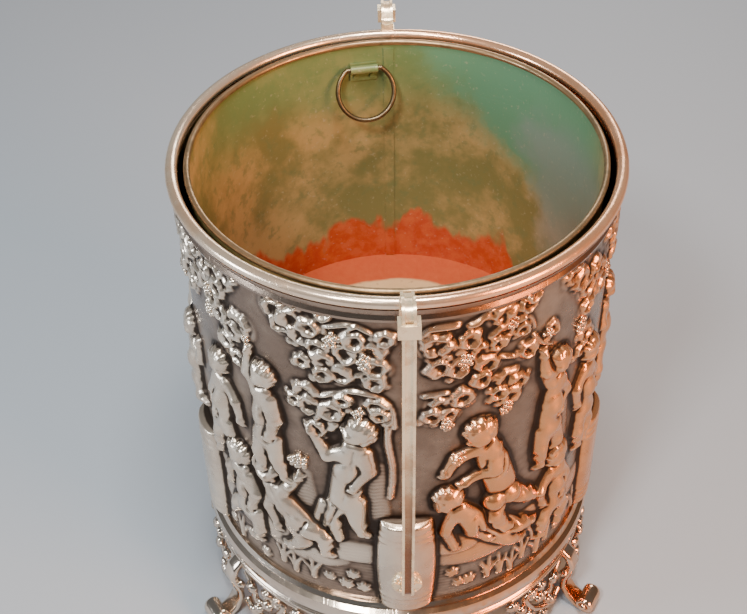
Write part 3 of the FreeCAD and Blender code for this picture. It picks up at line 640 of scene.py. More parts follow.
def spot(deg, up):
    """A point on the wall from its angle and its height above the table. The picture's middle
    is a little shorter than its sides, as the drawing of it was."""
    share = min(abs(deg) / 40, 1)
    return deg * PER_DEG, 268 - (268 - up) * (0.95 + 0.05 * share)


# %% [markdown]
# ## Leaves and vines
#
# The vine has three things that repeat: curling leaves, thin tendrils and grapes. In pressed
# silver a leaf is a lobed cushion with a hollow middle, raised ribs and a curled edge. One
# function draws it at any size and turn.

# %% A vine leaf and a curl


LOBES = 3


def leaf(deg, up, size, turn, rise):
    """A lobed leaf with ribs, a hollow middle and a curled edge. turn is in degrees."""
    at = spot(deg, up)
    layer = Layer(*at, size + 3)
    x, z = layer.x - at[0], layer.z - at[1]
    angle = np.arctan2(z, x) - math.radians(turn)
    away = np.hypot(x, z)
    wave = np.abs(np.cos(angle * LOBES / 2))
    edge = size * (0.80 + 0.20 * wave ** 0.7) * (1 + 0.07 * np.sin(angle * 7 + deg * 2))
    edge = edge * (1 + 0.25 * np.cos(angle))
    share = away / edge
    body = np.sqrt(np.maximum(1 - share ** 2, 0)) ** 0.45
    lip = 0.55 + 0.40 * np.sin(angle + deg + up)
    curled = 0.36 + (0.35 + 0.45 * lip) * np.exp(-((share - 0.74) / 0.19) ** 2)
    rib = np.exp(-(away * np.sqrt(np.maximum(1 - wave ** 2, 0)) / 0.6) ** 2)
    rib = rib * (wave > 0.8) * smooth(share, 0.1, 0.3) * (1 - smooth(share, 0.55, 0.8))
    layer.put(rise * (body * curled + 0.20 * rib))
    veined = int(deg * 2 + up) % 2
    if veined:
        way = math.radians(turn)
        tail = (at[0] - math.cos(way) * size * 0.4, at[1] - math.sin(way) * size * 0.4)
        tip = (at[0] + math.cos(way) * size * 0.8, at[1] + math.sin(way) * size * 0.8)
        layer.groove(tail, tip, 0.55, rise * 0.42)
        for lean in (-0.9, 0.9):
            end = (at[0] + math.cos(way + lean) * size * 0.7, at[1] + math.sin(way + lean) * size * 0.7)
            layer.groove(at, end, 0.5, rise * 0.3)
    else:
        layer.dent(at, size * 0.30, rise * 0.6, 1.4, math.radians(turn))
    layer.press(lift=0.35, ride=0.35, ditch=0.65, halo=1.0)


def curl(layer, at, radius, rise, turn=0.0, hand=1):
    """A snail of hair or a curled shoot."""
    x, z = layer.x - at[0], layer.z - at[1]
    away = np.hypot(x, z)
    swirl = np.cos(2.2 * math.pi * away / radius + hand * np.arctan2(z, x) + turn)
    body = np.sqrt(np.maximum(1 - (away / radius) ** 2, 0))
    layer.put(rise * body * (0.82 + 0.22 * swirl))


def vine(points, thick, rise=1.5, thin_to=None):
    """A branch or tendril through points given as angle and height."""
    places = [spot(*p) for p in points]
    mid = np.mean(places, axis=0)
    reach = max(math.dist(mid, p) for p in places) + 4
    layer = Layer(*mid, reach)
    thin_to = thick if thin_to is None else thin_to
    path = round_path(places, 6)
    for i, (a, b) in enumerate(zip(path, path[1:])):
        share = i / (len(path) - 1)
        width = thick + (thin_to - thick) * share
        layer.limb(a, b, width, width, rise * (0.6 + 0.4 * width / thick))
    layer.press(lift=0.35, ride=0.3, ditch=0.5, halo=0.9)


def round_path(points, parts):
    """A smooth line through points, by the Catmull and Rom rule."""
    p = [np.array(q, float) for q in points]
    p = [2 * p[0] - p[1]] + p + [2 * p[-1] - p[-2]]
    line = []
    for a, b, c, d in zip(p, p[1:], p[2:], p[3:]):
        for share in np.arange(parts) / parts:
            line.append(0.5 * (2 * b + (c - a) * share + (2 * a - 5 * b + 4 * c - d) * share ** 2
                               + (3 * b - a - 3 * c + d) * share ** 3))
    return line + [p[-2]]


FLOWER_RISE = 1.6
FLOWER_PETALS = 6


def rosette(deg, up, size):
    """A small open flower."""
    at = spot(deg, up)
    layer = Layer(*at, size + 3)
    for i in range(FLOWER_PETALS):
        turn = 2 * math.pi * i / FLOWER_PETALS + deg
        middle = (at[0] + math.cos(turn) * size * 0.58, at[1] + math.sin(turn) * size * 0.58)
        layer.ball(middle, size * 0.42, FLOWER_RISE, 0.72, turn)
    layer.ball(at, size * 0.26, FLOWER_RISE * 1.15)
    layer.press(lift=0.25, ride=0.3, ditch=0.5, halo=0.9)


GOLDEN_TURN = 2.39996
grapes = []


def bunch(deg, up, size, count, lean):
    """Remembers where the grapes of a bunch sit. They are made later, as round beads."""
    at = spot(deg, up)
    turn = math.radians(lean)
    c, s = math.cos(turn), math.sin(turn)
    layer = Layer(*at, size + 3)
    layer.ball(at, size * 0.8, 1.0, 0.75, turn)
    layer.press(lift=0.2, ride=0.2, ditch=0.5, halo=1.0)
    for i in range(count):
        away = size * math.sqrt((i + 0.4) / count) * 0.92
        u, v = away * math.cos(i * GOLDEN_TURN), away * math.sin(i * GOLDEN_TURN) * 0.72
        radius = size * (0.26 + 0.04 * random.random())
        grapes.append((at[0] + u * c - v * s, at[1] + u * s + v * c, radius, 1.5 - away / size))


# %% [markdown]
# ## Children at the vintage
#
# The figures are stock decoration: plump children who gather grapes and climb among casks.
# Each body is a chain of tapered lumps from the head to the hands and feet. The head is a
# general one, calm, on schoolbook proportions: the eyes half way down, the nose three quarters
# down, and the mouth a third of the way from the nose to the chin. Arms are pressed after the
# body, so they lie on top of it.

# %% A child's head
LEFT, RIGHT = -1, 1


def head(layer, at, radius, facing, tilt):
    """A round head with curls. facing is LEFT or RIGHT, tilt leans it forward in degrees."""
    c, s = math.cos(math.radians(tilt)), math.sin(math.radians(tilt))

    def on_head(forward, upward):
        x = forward * c + upward * s
        z = upward * c - forward * s
        return at[0] + facing * x * radius, at[1] + z * radius

    layer.ball(on_head(-0.06, 0.10), radius * 0.92, 4.6, 0.95)
    layer.ball(on_head(0.12, -0.30), radius * 0.66, 4.3, 0.9)
    layer.ball(on_head(0.42, -0.34), radius * 0.30, 3.9)
    layer.ball(on_head(0.30, -0.78), radius * 0.22, 3.2)
    layer.ball(on_head(0.80, -0.22), radius * 0.15, 3.0, 1.2)
    layer.ball(on_head(-0.22, -0.20), radius * 0.17, 3.9, 1.3)
    layer.dent(on_head(0.42, 0.02), radius * 0.13, 0.75, 0.7)
    layer.dent(on_head(0.80, 0.03), radius * 0.11, 0.55, 0.7)
    layer.groove(on_head(0.48, -0.58), on_head(0.74, -0.55), radius * 0.06, 0.6)
    layer.groove(on_head(0.30, 0.18), on_head(0.72, 0.22), radius * 0.07, -0.35)
    places = [(-0.78, -0.18), (-0.88, 0.16), (-0.72, 0.50), (-0.42, 0.78), (-0.04, 0.90),
              (0.34, 0.80), (0.60, 0.52), (-0.48, 0.12), (-0.34, 0.46), (0.04, 0.58),
              (0.32, 0.50), (-0.62, -0.44)]
    for i, (u, v) in enumerate(places):
        curl(layer, on_head(u, v), radius * 0.27, 4.4 - 0.8 * math.hypot(u, v), i * 1.3, facing)


# %% A child's body
ARM_R = (4.1, 3.4, 2.4)
LEG_R = (6.7, 4.7, 2.9)
ARM_RISE = 3.0
LEG_RISE = 3.9


def arm(layer, shoulder, elbow, hand, size):
    """An upper arm, a forearm with a soft elbow, and a hand with a thumb."""
    r = [v * size for v in ARM_R]
    layer.limb(shoulder, elbow, r[0], r[1], ARM_RISE)
    layer.limb(elbow, hand, r[1] * 1.04, r[2], ARM_RISE, ARM_RISE * 0.8)
    layer.ball(hand, r[2] * 1.25, ARM_RISE * 0.85)
    aim = np.array(hand) - np.array(elbow)
    aim = aim / max(np.hypot(*aim), 0.1)
    side = np.array((-aim[1], aim[0]))
    for spread in (-0.7, 0, 0.7):
        tip = np.array(hand) + (aim * 1.7 + side * spread) * r[2] * 0.95
        layer.limb(hand, tuple(tip), r[2] * 0.5, r[2] * 0.34, ARM_RISE * 0.7)


def leg(layer, hip, knee, foot, toe, size):
    """A plump thigh, a calf that swells behind the shin, and a foot."""
    r = [v * size for v in LEG_R]
    layer.limb(hip, knee, r[0], r[1], LEG_RISE)
    calf = tuple(np.array(knee) * 0.6 + np.array(foot) * 0.4)
    layer.limb(knee, foot, r[1] * 0.92, r[2], LEG_RISE * 0.92, LEG_RISE * 0.75)
    layer.ball(calf, r[1] * 0.95, LEG_RISE * 0.9, 1.2)
    end = (foot[0] + toe[0] * size, foot[1] + toe[1] * size)
    layer.limb(foot, end, r[2] * 1.0, r[2] * 0.72, LEG_RISE * 0.72, LEG_RISE * 0.5)


def torso(layer, neck, waist, hip, size, back=False):
    """A chest, a round belly or a bare back, and the hips."""
    layer.limb(neck, waist, 6.0 * size, 7.6 * size, 3.4, 4.3)
    layer.limb(waist, hip, 7.6 * size, 7.8 * size, 4.3, 4.2)
    if back:
        layer.groove(neck, hip, 0.9 * size, 0.7)
    else:
        layer.ball(tuple(np.array(waist) * 0.8 + np.array(hip) * 0.2), 6.0 * size, 4.9)
        layer.dent(tuple(np.array(waist) * 0.6 + np.array(hip) * 0.4), 0.9 * size, 0.9)
        across = np.array((neck[1] - waist[1], waist[0] - neck[0]), float)
        across = across / max(np.hypot(*across), 0.1) * 5 * size
        middle = np.array(neck) * 0.45 + np.array(waist) * 0.55
        layer.groove(tuple(middle - across * 0.8), tuple(middle + across * 0.8), 0.8 * size, 0.4)


def seat(layer, at, size, aim):
    """Two smooth round cheeks with the crease between them."""
    side = np.array((math.cos(math.radians(aim)), math.sin(math.radians(aim))))
    for hand in (-1, 1):
        layer.ball(tuple(np.array(at) + side * hand * 4.3 * size), 6.0 * size, 5.0)
    along = np.array((-side[1], side[0])) * 5.2 * size
    layer.groove(tuple(np.array(at) - along), tuple(np.array(at) + along), 0.8 * size, 1.3)


def child(size, head_at, facing, tilt, neck, waist, hip, legs, arms, back=False, seat_aim=None):
    """A whole child. Every place is an angle and a height; legs and arms are lists of them."""
    body = Layer(*spot(*waist), 62)
    torso(body, spot(*neck), spot(*waist), spot(*hip), size, back)
    if seat_aim is not None:
        seat(body, spot(*hip), size, seat_aim)
    for start, knee, foot, toe in legs:
        leg(body, spot(*start), spot(*knee), spot(*foot), toe, size)
    body.press(lift=0.8, ride=0.15, ditch=0.7, halo=1.6)
    top = Layer(*spot(*head_at), 20)
    head(top, spot(*head_at), 8.1 * size, facing, tilt)
    top.press(lift=0.8, ride=0.1, ditch=0.6, halo=1.2)
    for shoulder, elbow, hand in arms:
        limb = Layer(*spot(*elbow), 32)
        arm(limb, spot(*shoulder), spot(*elbow), spot(*hand), size)
        limb.press(lift=0.45, ride=0.42, ditch=0.5, halo=1.1, root=spot(*shoulder))


# %% [markdown]
# ## Casks
#
# Six casks stand round the drum: one under each handle and two beside each pair of feet. A
# cask is a barrel of staves with two bands of hoops, so its height over the wall is a bulge
# across its width with a groove at each stave.

# %% The casks
CASK_HALF = 14.6
CASK_FOOT = 62.6
CASK_TOP = 129.0


def cask(deg):
    """Presses one cask into the field."""
    at = deg * PER_DEG
    middle = (CASK_FOOT + CASK_TOP) / 2
    layer = Layer(at, middle, 40)
    half_high = (CASK_TOP - CASK_FOOT) / 2
    level = (layer.z - middle) / half_high
    half_wide = CASK_HALF * (1 - 0.16 * level ** 2)
    across = (layer.x - at) / half_wide
    shape = np.sqrt(np.maximum(1 - across ** 2, 0)) * (np.abs(level) < 1)
    lean = np.arcsin(np.clip(across, -1, 1))
    stave = np.exp(-(((lean / 0.30 + 0.5) % 1 - 0.5) / 0.10) ** 2)
    height = 6.4 * shape * (1 - 0.12 * level ** 2) - 0.16 * stave
    for place, width in ((0.90, 0.060), (0.76, 0.045), (0.64, 0.040)):
        for side in (-1, 1):
            hoop = smooth(width - np.abs(level - side * place), 0, 0.02)
            height = height + 0.55 * hoop
    height = height * (np.abs(level) < 1) * (np.abs(across) < 1)
    layer.put(height)
    layer.press(lift=0.35, ride=0.0, ditch=0.8, halo=1.6)


# %% [markdown]
# ## The picture on half a turn
#
# The parts are now pressed from the back of the picture to the front: ground and rocks, then
# branches and leaves, then the children, then the casks. Each angle is counted from the front
# handle, negative to the left.

# %% Ground, rocks and the far grapes


def ground():
    """Lines of turf low down, rocks, and the drifts of earth that the children stand on."""
    for deg, up, wide, rise in ((-30, 92, 26, 1.3), (-14, 96, 20, 1.1), (-50, 96, 24, 1.4),
                                (20, 94, 26, 1.3), (38, 100, 24, 1.5), (55, 96, 22, 1.3),
                                (-36, 112, 16, 1.0), (12, 100, 16, 1.2), (85, 94, 24, 1.3),
                                (-85, 94, 24, 1.3), (46, 118, 14, 1.0), (-56, 118, 14, 1.0)):
        at = spot(deg, up)
        layer = Layer(*at, wide + 4)
        layer.ball(at, wide, rise, 0.42)
        layer.press(lift=0.15, ride=0.6, ditch=0.2, halo=1.5)
    low = 1 - smooth(UP, 108, 132)
    lines = np.sin(UP * 2.7 + 1.6 * np.sin(ARC * 0.11) + 0.8 * np.sin(ARC * 0.31))
    field[:] += low * (0.16 * lines + 0.16) * (0.6 + 0.4 * np.sin(ARC * 0.23 + UP * 0.2))


ground()
for deg, low, high in ((-7.5, 128, 162), (-27.5, 132, 150), (48, 140, 168), (-62, 130, 150)):
    at = spot(deg, (low + high) / 2)
    rock = Layer(*at, (high - low) / 2 + 10)
    rock.limb(spot(deg, low), spot(deg, high), 6.5, 4.0, 0.7)
    rock.marks += 0.16 * np.sin(rock.z * 2.6 + 1.5 * np.sin(rock.x * 0.7))
    rock.press(lift=0.0, ride=0.5, ditch=0.1)
print("highest so far", round(float(field.max()), 2), "mm")

# %% Branches and tendrils
BRANCHES = (
    ([(-4.5, 196), (-4.8, 180), (-3.6, 160), (-4.2, 140)], 1.8, 1.5),
    ([(-34, 262), (-28, 255), (-21, 250), (-13, 253), (-7, 247), (-4.5, 238)], 1.5, 0.9),
    ([(-24, 205), (-19, 209), (-13, 213), (-7, 210), (-4, 203), (-3, 190)], 1.5, 1.2),
    ([(-23, 200), (-24, 190), (-21, 176), (-17, 171)], 1.2, 0.9),
    ([(-12, 253), (-16, 246), (-20, 236), (-18, 226)], 1.0, 0.7),
    ([(3.5, 247), (6, 251), (12, 251.5)], 2.0, 1.5),
    ([(15, 250), (17.5, 252), (20.5, 257)], 1.9, 1.5),
    ([(20, 257), (26, 250), (31, 244), (33, 236)], 1.3, 0.8),
    ([(16, 236), (22, 228), (29, 223), (33, 226)], 1.3, 0.8),
    ([(33, 231), (36, 224), (39.5, 220)], 1.3, 0.9),
    ([(4, 210), (9, 211), (14, 209), (18, 212)], 1.3, 0.9),
    ([(-42, 236), (-47, 226), (-50, 214), (-49, 205)], 1.3, 0.8),
    ([(-62, 262), (-56, 250), (-50, 246), (-46, 250)], 1.5, 0.9),
    ([(46, 256), (50, 244), (55, 234), (61, 228)], 1.5, 0.9),
    ([(66, 262), (70, 246), (76, 236), (84, 232)], 1.5, 1.0),
    ([(-86, 262), (-80, 250), (-72, 244), (-66, 236)], 1.5, 1.0),
    ([(88, 250), (84, 215), (87, 180), (90, 150)], 1.7, 1.3),
)
for points, thick, thin in BRANCHES:
    vine(points, thick, 1.6, thin)
print("branches", len(BRANCHES))

# %% Leaves in clusters
LEAVES = (
    (-33, 252, 5.4, 20), (-31, 244, 4.4, 100), (-28, 250, 5.0, 200), (-26, 241, 5.2, 60),
    (-23, 247, 4.6, 150), (-22, 236, 5.0, 10), (-29, 257, 4.2, 80), (-20, 257, 3.6, 40),
    (-20, 229, 5.0, 120), (-15, 236, 5.2, 30), (-12, 228, 5.4, 200), (-16, 222, 4.8, 80),
    (-9, 238, 5.2, 10), (-7, 228, 5.0, 140), (-8, 219, 4.6, 60), (-12, 244, 4.4, 170),
    (-5.5, 246, 3.8, 30), (-21, 221, 4.2, 10), (-26, 226, 3.6, 60),
    (-26, 207, 5.0, 40), (-24, 198, 5.2, 110), (-21, 190, 5.0, 10), (-18, 199, 5.2, 200),
    (-23, 184, 4.0, 80), (-8, 204, 4.6, 20), (-6.5, 198, 4.0, 120), (-16, 206, 3.6, 60),
    (-29, 201, 3.6, 0),
    (6, 241, 5.8, 20), (11, 235, 5.2, 110), (8, 228, 5.0, 210), (12, 225, 5.0, 60),
    (18, 232, 5.6, 10), (20, 224, 5.0, 130), (15, 241, 4.6, 70), (19, 216, 4.4, 180),
    (23, 251, 5.2, 20), (27, 247, 5.0, 100), (24, 241, 5.0, 200), (30, 252, 4.4, 50),
    (32, 256, 3.8, 120), (22, 236, 3.8, 10), (29, 238, 3.6, 80),
    (8, 203, 5.2, 10), (14, 206, 4.8, 110), (6, 196, 4.4, 60), (11, 197, 3.6, 150),
    (25, 211, 5.2, 20), (29, 206, 5.0, 120), (27, 199, 4.8, 70), (23, 204, 3.8, 0),
    (31, 224, 4.2, 40), (39, 229, 3.6, 90),
    (-44, 231, 6.2, 160), (-48, 224, 5.2, 40), (-52, 229, 5.0, 100), (-50, 216, 4.8, 200),
    (-47, 209, 4.0, 20), (-55, 236, 5.0, 60), (-48, 256, 4.8, 20), (-53, 252, 5.2, 110),
    (-58, 247, 5.2, 10), (-52, 244, 4.6, 70), (-61, 256, 4.6, 140), (-63, 238, 5.0, 30),
    (-68, 247, 5.0, 100), (-73, 253, 5.0, 10), (-72, 240, 5.0, 60), (-78, 246, 5.2, 130),
    (-84, 252, 5.0, 20), (-83, 240, 5.0, 80), (-76, 230, 4.6, 10), (-67, 229, 4.2, 150),
    (45, 253, 5.0, 20), (49, 246, 5.2, 100), (52, 238, 5.0, 20), (56, 232, 5.0, 80),
    (60, 239, 4.8, 140), (61, 228, 4.6, 10), (56, 245, 4.2, 60), (53, 225, 4.2, 20),
    (66, 253, 5.0, 70), (70, 243, 5.2, 20), (75, 250, 5.0, 120), (78, 238, 5.2, 10),
    (84, 246, 5.0, 60), (87, 234, 5.0, 150), (72, 232, 4.4, 80), (88, 222, 4.4, 30),
    (54, 207, 4.8, 30), (58, 200, 4.6, 110), (53, 198, 4.0, 60),
)
for deg, up, size, turn in LEAVES:
    pad = Layer(*spot(deg, up), size * 1.5 + 2)
    pad.ball(spot(deg, up), size * 1.45, 1.1)
    pad.press(lift=0.0, ride=0.3, ditch=0.0)
for deg, up, size, turn in LEAVES:
    for k in range(3):
        away = size * (1.0 + 0.35 * random.random())
        way = random.random() * 2 * math.pi
        at = (spot(deg, up)[0] + away * math.cos(way), spot(deg, up)[1] + away * math.sin(way))
        shoot = Layer(*at, 5)
        curl(shoot, at, 1.7 + 0.7 * random.random(), 1.5, way, LEFT if k == 1 else RIGHT)
        shoot.press(lift=0.25, ride=0.5, ditch=0.5, halo=0.8)
for deg, up, size, turn in LEAVES:
    leaf(deg, up, size * 1.26, turn, 2.5 + 0.25 * math.sin(deg * 3 + up))
print("leaves", len(LEAVES))

# %% Bunches of grapes
BUNCHES = ((-29, 158, 6.0, 13, 20), (-18, 243, 5.0, 11, 70), (-10, 233, 4.6, 10, 80),
           (-12, 199, 4.0, 9, 60), (14, 230, 5.0, 11, 90), (26, 245, 4.2, 9, 70),
           (10, 191, 4.6, 10, 100), (26, 193, 4.6, 10, 80), (-57, 226, 5.0, 11, 100),
           (-56, 240, 4.6, 9, 60), (-79, 222, 5.6, 13, 90), (52, 216, 5.0, 11, 80),
           (66, 230, 5.0, 11, 100), (82, 224, 5.6, 13, 90), (13, 168, 4.2, 9, 30),
           (37.5, 229, 3.4, 7, 0), (-42.5, 225, 3.2, 7, 90))
for one in BUNCHES:
    bunch(*one)
print("grapes", len(grapes))

# %% The flowers and grasses at the children's feet
FLOWERS = ((-17, 69, 4.2), (-12, 67, 4.0), (-15, 77, 3.8), (-22, 73, 3.4), (18, 69, 4.2),
           (13, 77, 3.8), (15, 68, 3.4), (24, 72, 3.6), (-44, 71, 3.8), (-50, 77, 3.6),
           (52, 73, 3.8), (58, 81, 3.4), (-60, 73, 3.4), (84, 73, 4.0), (-86, 71, 4.0))
for deg, up, size in FLOWERS:
    rosette(deg, up, size)
GRASSES = ((28, 67, 1), (32, 65, -1), (42, 67, 1), (40, 81, -1), (-33, 69, 1), (-37, 73, -1),
           (-27, 69, 1), (-55, 67, -1), (46, 71, 1), (62, 69, -1), (80, 69, 1), (-80, 69, 1),
           (24, 67, -1), (36, 71, 1))
for deg, up, side in GRASSES:
    for lean, tall in ((-2.2, 11), (-0.4, 15), (1.6, 12)):
        middle = (deg + side * lean * 0.5, up + tall * 0.6)
        vine([(deg, up), middle, (deg + side * lean * 1.4, up + tall)], 1.5, 1.1, 0.7)
print("flowers", len(FLOWERS), "tufts", len(GRASSES))

# %% The children on the left of the handle
child(1.0, (-12.2, 187), LEFT, -28, (-13.2, 176), (-14.8, 160), (-16.2, 140),
      [((-17, 138), (-20.5, 126), (-18.5, 108), (-3.4, -2.0)),
       ((-14.2, 137), (-13.2, 124), (-12.0, 114), (3.0, -2.6))],
      [((-15.5, 173), (-20.5, 168), (-24.5, 184)), ((-10.6, 172), (-9.4, 160), (-13.0, 150))],
      back=True)
vine([(-22.5, 132), (-24.5, 118), (-22, 106), (-24.5, 96)], 2.6, 1.7, 1.4)
vine([(-19.5, 134), (-22.5, 112), (-19.5, 98)], 2.0, 1.6, 1.1)
child(1.02, (-40, 143), RIGHT, 30, (-38.5, 133), (-34.5, 124), (-28.5, 112),
      [((-31, 108), (-28.5, 100), (-33, 92), (-3.6, -1.0)),
       ((-26, 110), (-22.4, 106), (-22.5, 94), (3.4, -1.6))],
      [((-38.5, 128), (-40.2, 116), (-37.8, 103)), ((-35.5, 129), (-32.4, 138), (-29.6, 146))],
      back=True, seat_aim=-25)
child(0.92, (-38.4, 208), LEFT, -6, (-38.4, 197), (-38.2, 184), (-38.0, 170),
      [((-36.8, 168), (-35.6, 156), (-33.4, 144), (3.0, -1.4)),
       ((-39.8, 168), (-41.4, 156), (-40.0, 146), (-3.0, -1.4))],
      [((-40.6, 196), (-43.0, 206), (-42.2, 219)), ((-36.0, 194), (-34.4, 182), (-36.4, 172))])
child(0.9, (-55, 196), RIGHT, 10, (-55.5, 186), (-56.5, 172), (-57.5, 156),
      [((-59, 154), (-60, 142), (-61.5, 126), (-3.2, -1.6)),
       ((-55.5, 154), (-52.6, 144), (-53.4, 128), (3.0, -1.6))],
      [((-53, 184), (-49.6, 177), (-48.4, 166)), ((-58, 183), (-60.5, 172), (-58.8, 160))])
child(0.95, (-50.5, 140), LEFT, 16, (-50, 130), (-48.6, 118), (-48.2, 104),
      [((-50, 102), (-54.0, 98), (-56.5, 88), (-3.0, -1.2)),
       ((-46.4, 102), (-44.4, 92), (-46.4, 82), (3.2, -1.0))],
      [((-52, 128), (-56.4, 122), (-57.4, 110)), ((-47.4, 127), (-44.2, 118), (-46.2, 108))])
print("left side pressed, highest", round(float(field.max()), 2), "mm")

# %% The children on the right of the handle
child(0.96, (10.6, 137), RIGHT, 62, (13.8, 128), (19.0, 117), (25.5, 108),
      [((27, 108), (32.0, 103), (37.5, 101), (3.0, -1.0)),
       ((24.5, 104), (28.6, 96), (33.5, 91), (3.4, -0.4))],
      [((12.4, 124), (10.4, 112), (12.8, 101)), ((16, 122), (17.5, 110), (22, 103))])
child(1.04, (18.8, 181), LEFT, 24, (20.6, 172), (23.2, 158), (26.0, 141),
      [((28.0, 133), (32.5, 126), (38.2, 119), (2.8, -2.0)),
       ((25.4, 131), (24.6, 119), (27.5, 108), (3.2, -1.4))],
      [((23.4, 168), (22.8, 156), (15.5, 148)), ((18.0, 170), (12.8, 166), (10.4, 157))])
cheeks = Layer(*spot(26.5, 131), 16)
seat(cheeks, spot(26.4, 131), 1.0, 8)
cheeks.press(lift=0.7, ride=0.2, ditch=0.3)
child(0.92, (42.4, 206), LEFT, -10, (42.4, 196), (41.4, 182), (41.0, 167),
      [((42.6, 165), (44.6, 153), (43.6, 139), (3.0, -1.4)),
       ((39.6, 165), (38.4, 153), (39.2, 141), (-3.0, -1.4))],
      [((40.2, 195), (37.8, 204), (36.8, 216)), ((44.4, 193), (47.0, 183), (44.6, 174))])
child(0.95, (45.5, 139), LEFT, 20, (46.2, 130), (47.6, 118), (47.0, 104),
      [((45.4, 102), (42.4, 94), (42.8, 82), (-3.0, -1.0)),
       ((48.8, 102), (51.4, 93), (50.4, 80), (3.0, -1.0))],
      [((44.0, 127), (40.4, 119), (41.8, 108)), ((48.8, 127), (51.4, 118), (49.4, 108))])
child(0.92, (58.5, 192), LEFT, 6, (58.5, 182), (59.4, 168), (60.0, 152),
      [((61.6, 150), (63.0, 138), (62.0, 124), (3.0, -1.4)),
       ((58.4, 150), (56.6, 138), (58.2, 126), (-3.0, -1.4))],
      [((56.4, 180), (53.2, 172), (54.6, 160)), ((60.8, 179), (64.0, 171), (63.2, 160))])
child(0.92, (82, 196), LEFT, 8, (82.4, 186), (82.8, 172), (83.6, 156),
      [((85.2, 154), (87.0, 142), (86.4, 126), (3.0, -1.4)),
       ((82, 154), (80.0, 142), (81.0, 128), (-3.0, -1.4))],
      [((80, 184), (76.6, 178), (77.2, 190)), ((84.6, 183), (87.8, 174), (86.6, 162))])
child(0.92, (-77, 188), RIGHT, 8, (-77.2, 178), (-78, 165), (-78.8, 150),
      [((-80.4, 148), (-82.6, 137), (-84.5, 124), (-3.0, -1.4)),
       ((-77.2, 148), (-75.4, 141), (-72.0, 143), (3.0, -0.6))],
      [((-75, 176), (-71.2, 172), (-70.6, 184)), ((-79.4, 175), (-82.6, 167), (-81.2, 156))])
print("right side pressed, highest", round(float(field.max()), 2), "mm")

# %% Press the casks and finish the field
for deg in (-72, 0, 72):
    cask(deg)


def rub(values):
    """Takes the sharpest corners off, as pressing and polishing do."""
    for axis in (0, 1):
        values = 0.5 * values + 0.25 * (np.roll(values, 1, axis) + np.roll(values, -1, axis))
    return values


def finish_field():
    """Joins the two ends of the half turn, takes the sharpest corners off, limits the rise and fades it out
    at the top and the foot.
    """
    global field
    body = field[:, SIDE:-SIDE].copy()
    body[:, -SIDE:] = np.maximum(body[:, -SIDE:], field[:, :SIDE])
    body[:, :SIDE] = np.maximum(body[:, :SIDE], field[:, -SIDE:])
    body = rub(rub(body))
    body = np.where(body < KNEE, body, KNEE + HEADROOM * np.tanh((body - KNEE) / HEADROOM))
    calm = smooth(row_height, FIELD_LOW, FIELD_LOW + 1.2) * (1 - smooth(row_height, FIELD_HIGH - 1.4,
                                                                        FIELD_HIGH))
    body *= calm[:, None]
    return body


relief = finish_field()
padded = np.concatenate([relief[:, -SIDE:], relief, relief[:, :SIDE]], axis=1)
small = soften(padded, 1.2) - padded
wide = soften(padded, 4.0) - padded
hollow = np.clip(0.16 + 0.75 * small + 0.16 * wide, 0, 1)[:, SIDE:-SIDE]
print("relief", relief.shape, "rise", round(float(relief.max()), 2), "mm, hollow",
      round(float(hollow.mean()), 2))

# %% [markdown]
# ## Wrapping the field round the drum
#
# The field becomes eight strips of wall, four for each half turn. Each strip is a closed piece
# of sheet: the pressed face outside and a plain face inside. Where two strips meet, their
# normals are taken from the whole field, so the seam can't be seen. The hollowness of each
# point is kept as an attribute, and the finish lays dark film there.

# %% Build the strips
STRIPS_PER_HALF = 4
WRAP = np.concatenate([relief[:, -2:], relief, relief[:, :3]], axis=1)


def wrapped_normals():
    """A normal for each field point, on the bent wall."""
    slope_z = np.gradient(WRAP, axis=0) / (row_height[1] - row_height[0])
    slope_x = np.gradient(WRAP, axis=1) / (180 * PER_DEG / COLUMNS)
    return slope_x[:, 2:-2], slope_z[:, 2:-2]


SLOPE_X, SLOPE_Z = wrapped_normals()
TALL = np.concatenate([relief, relief[:, :1]], axis=1)
FILM = np.concatenate([hollow, hollow[:, :1]], axis=1)


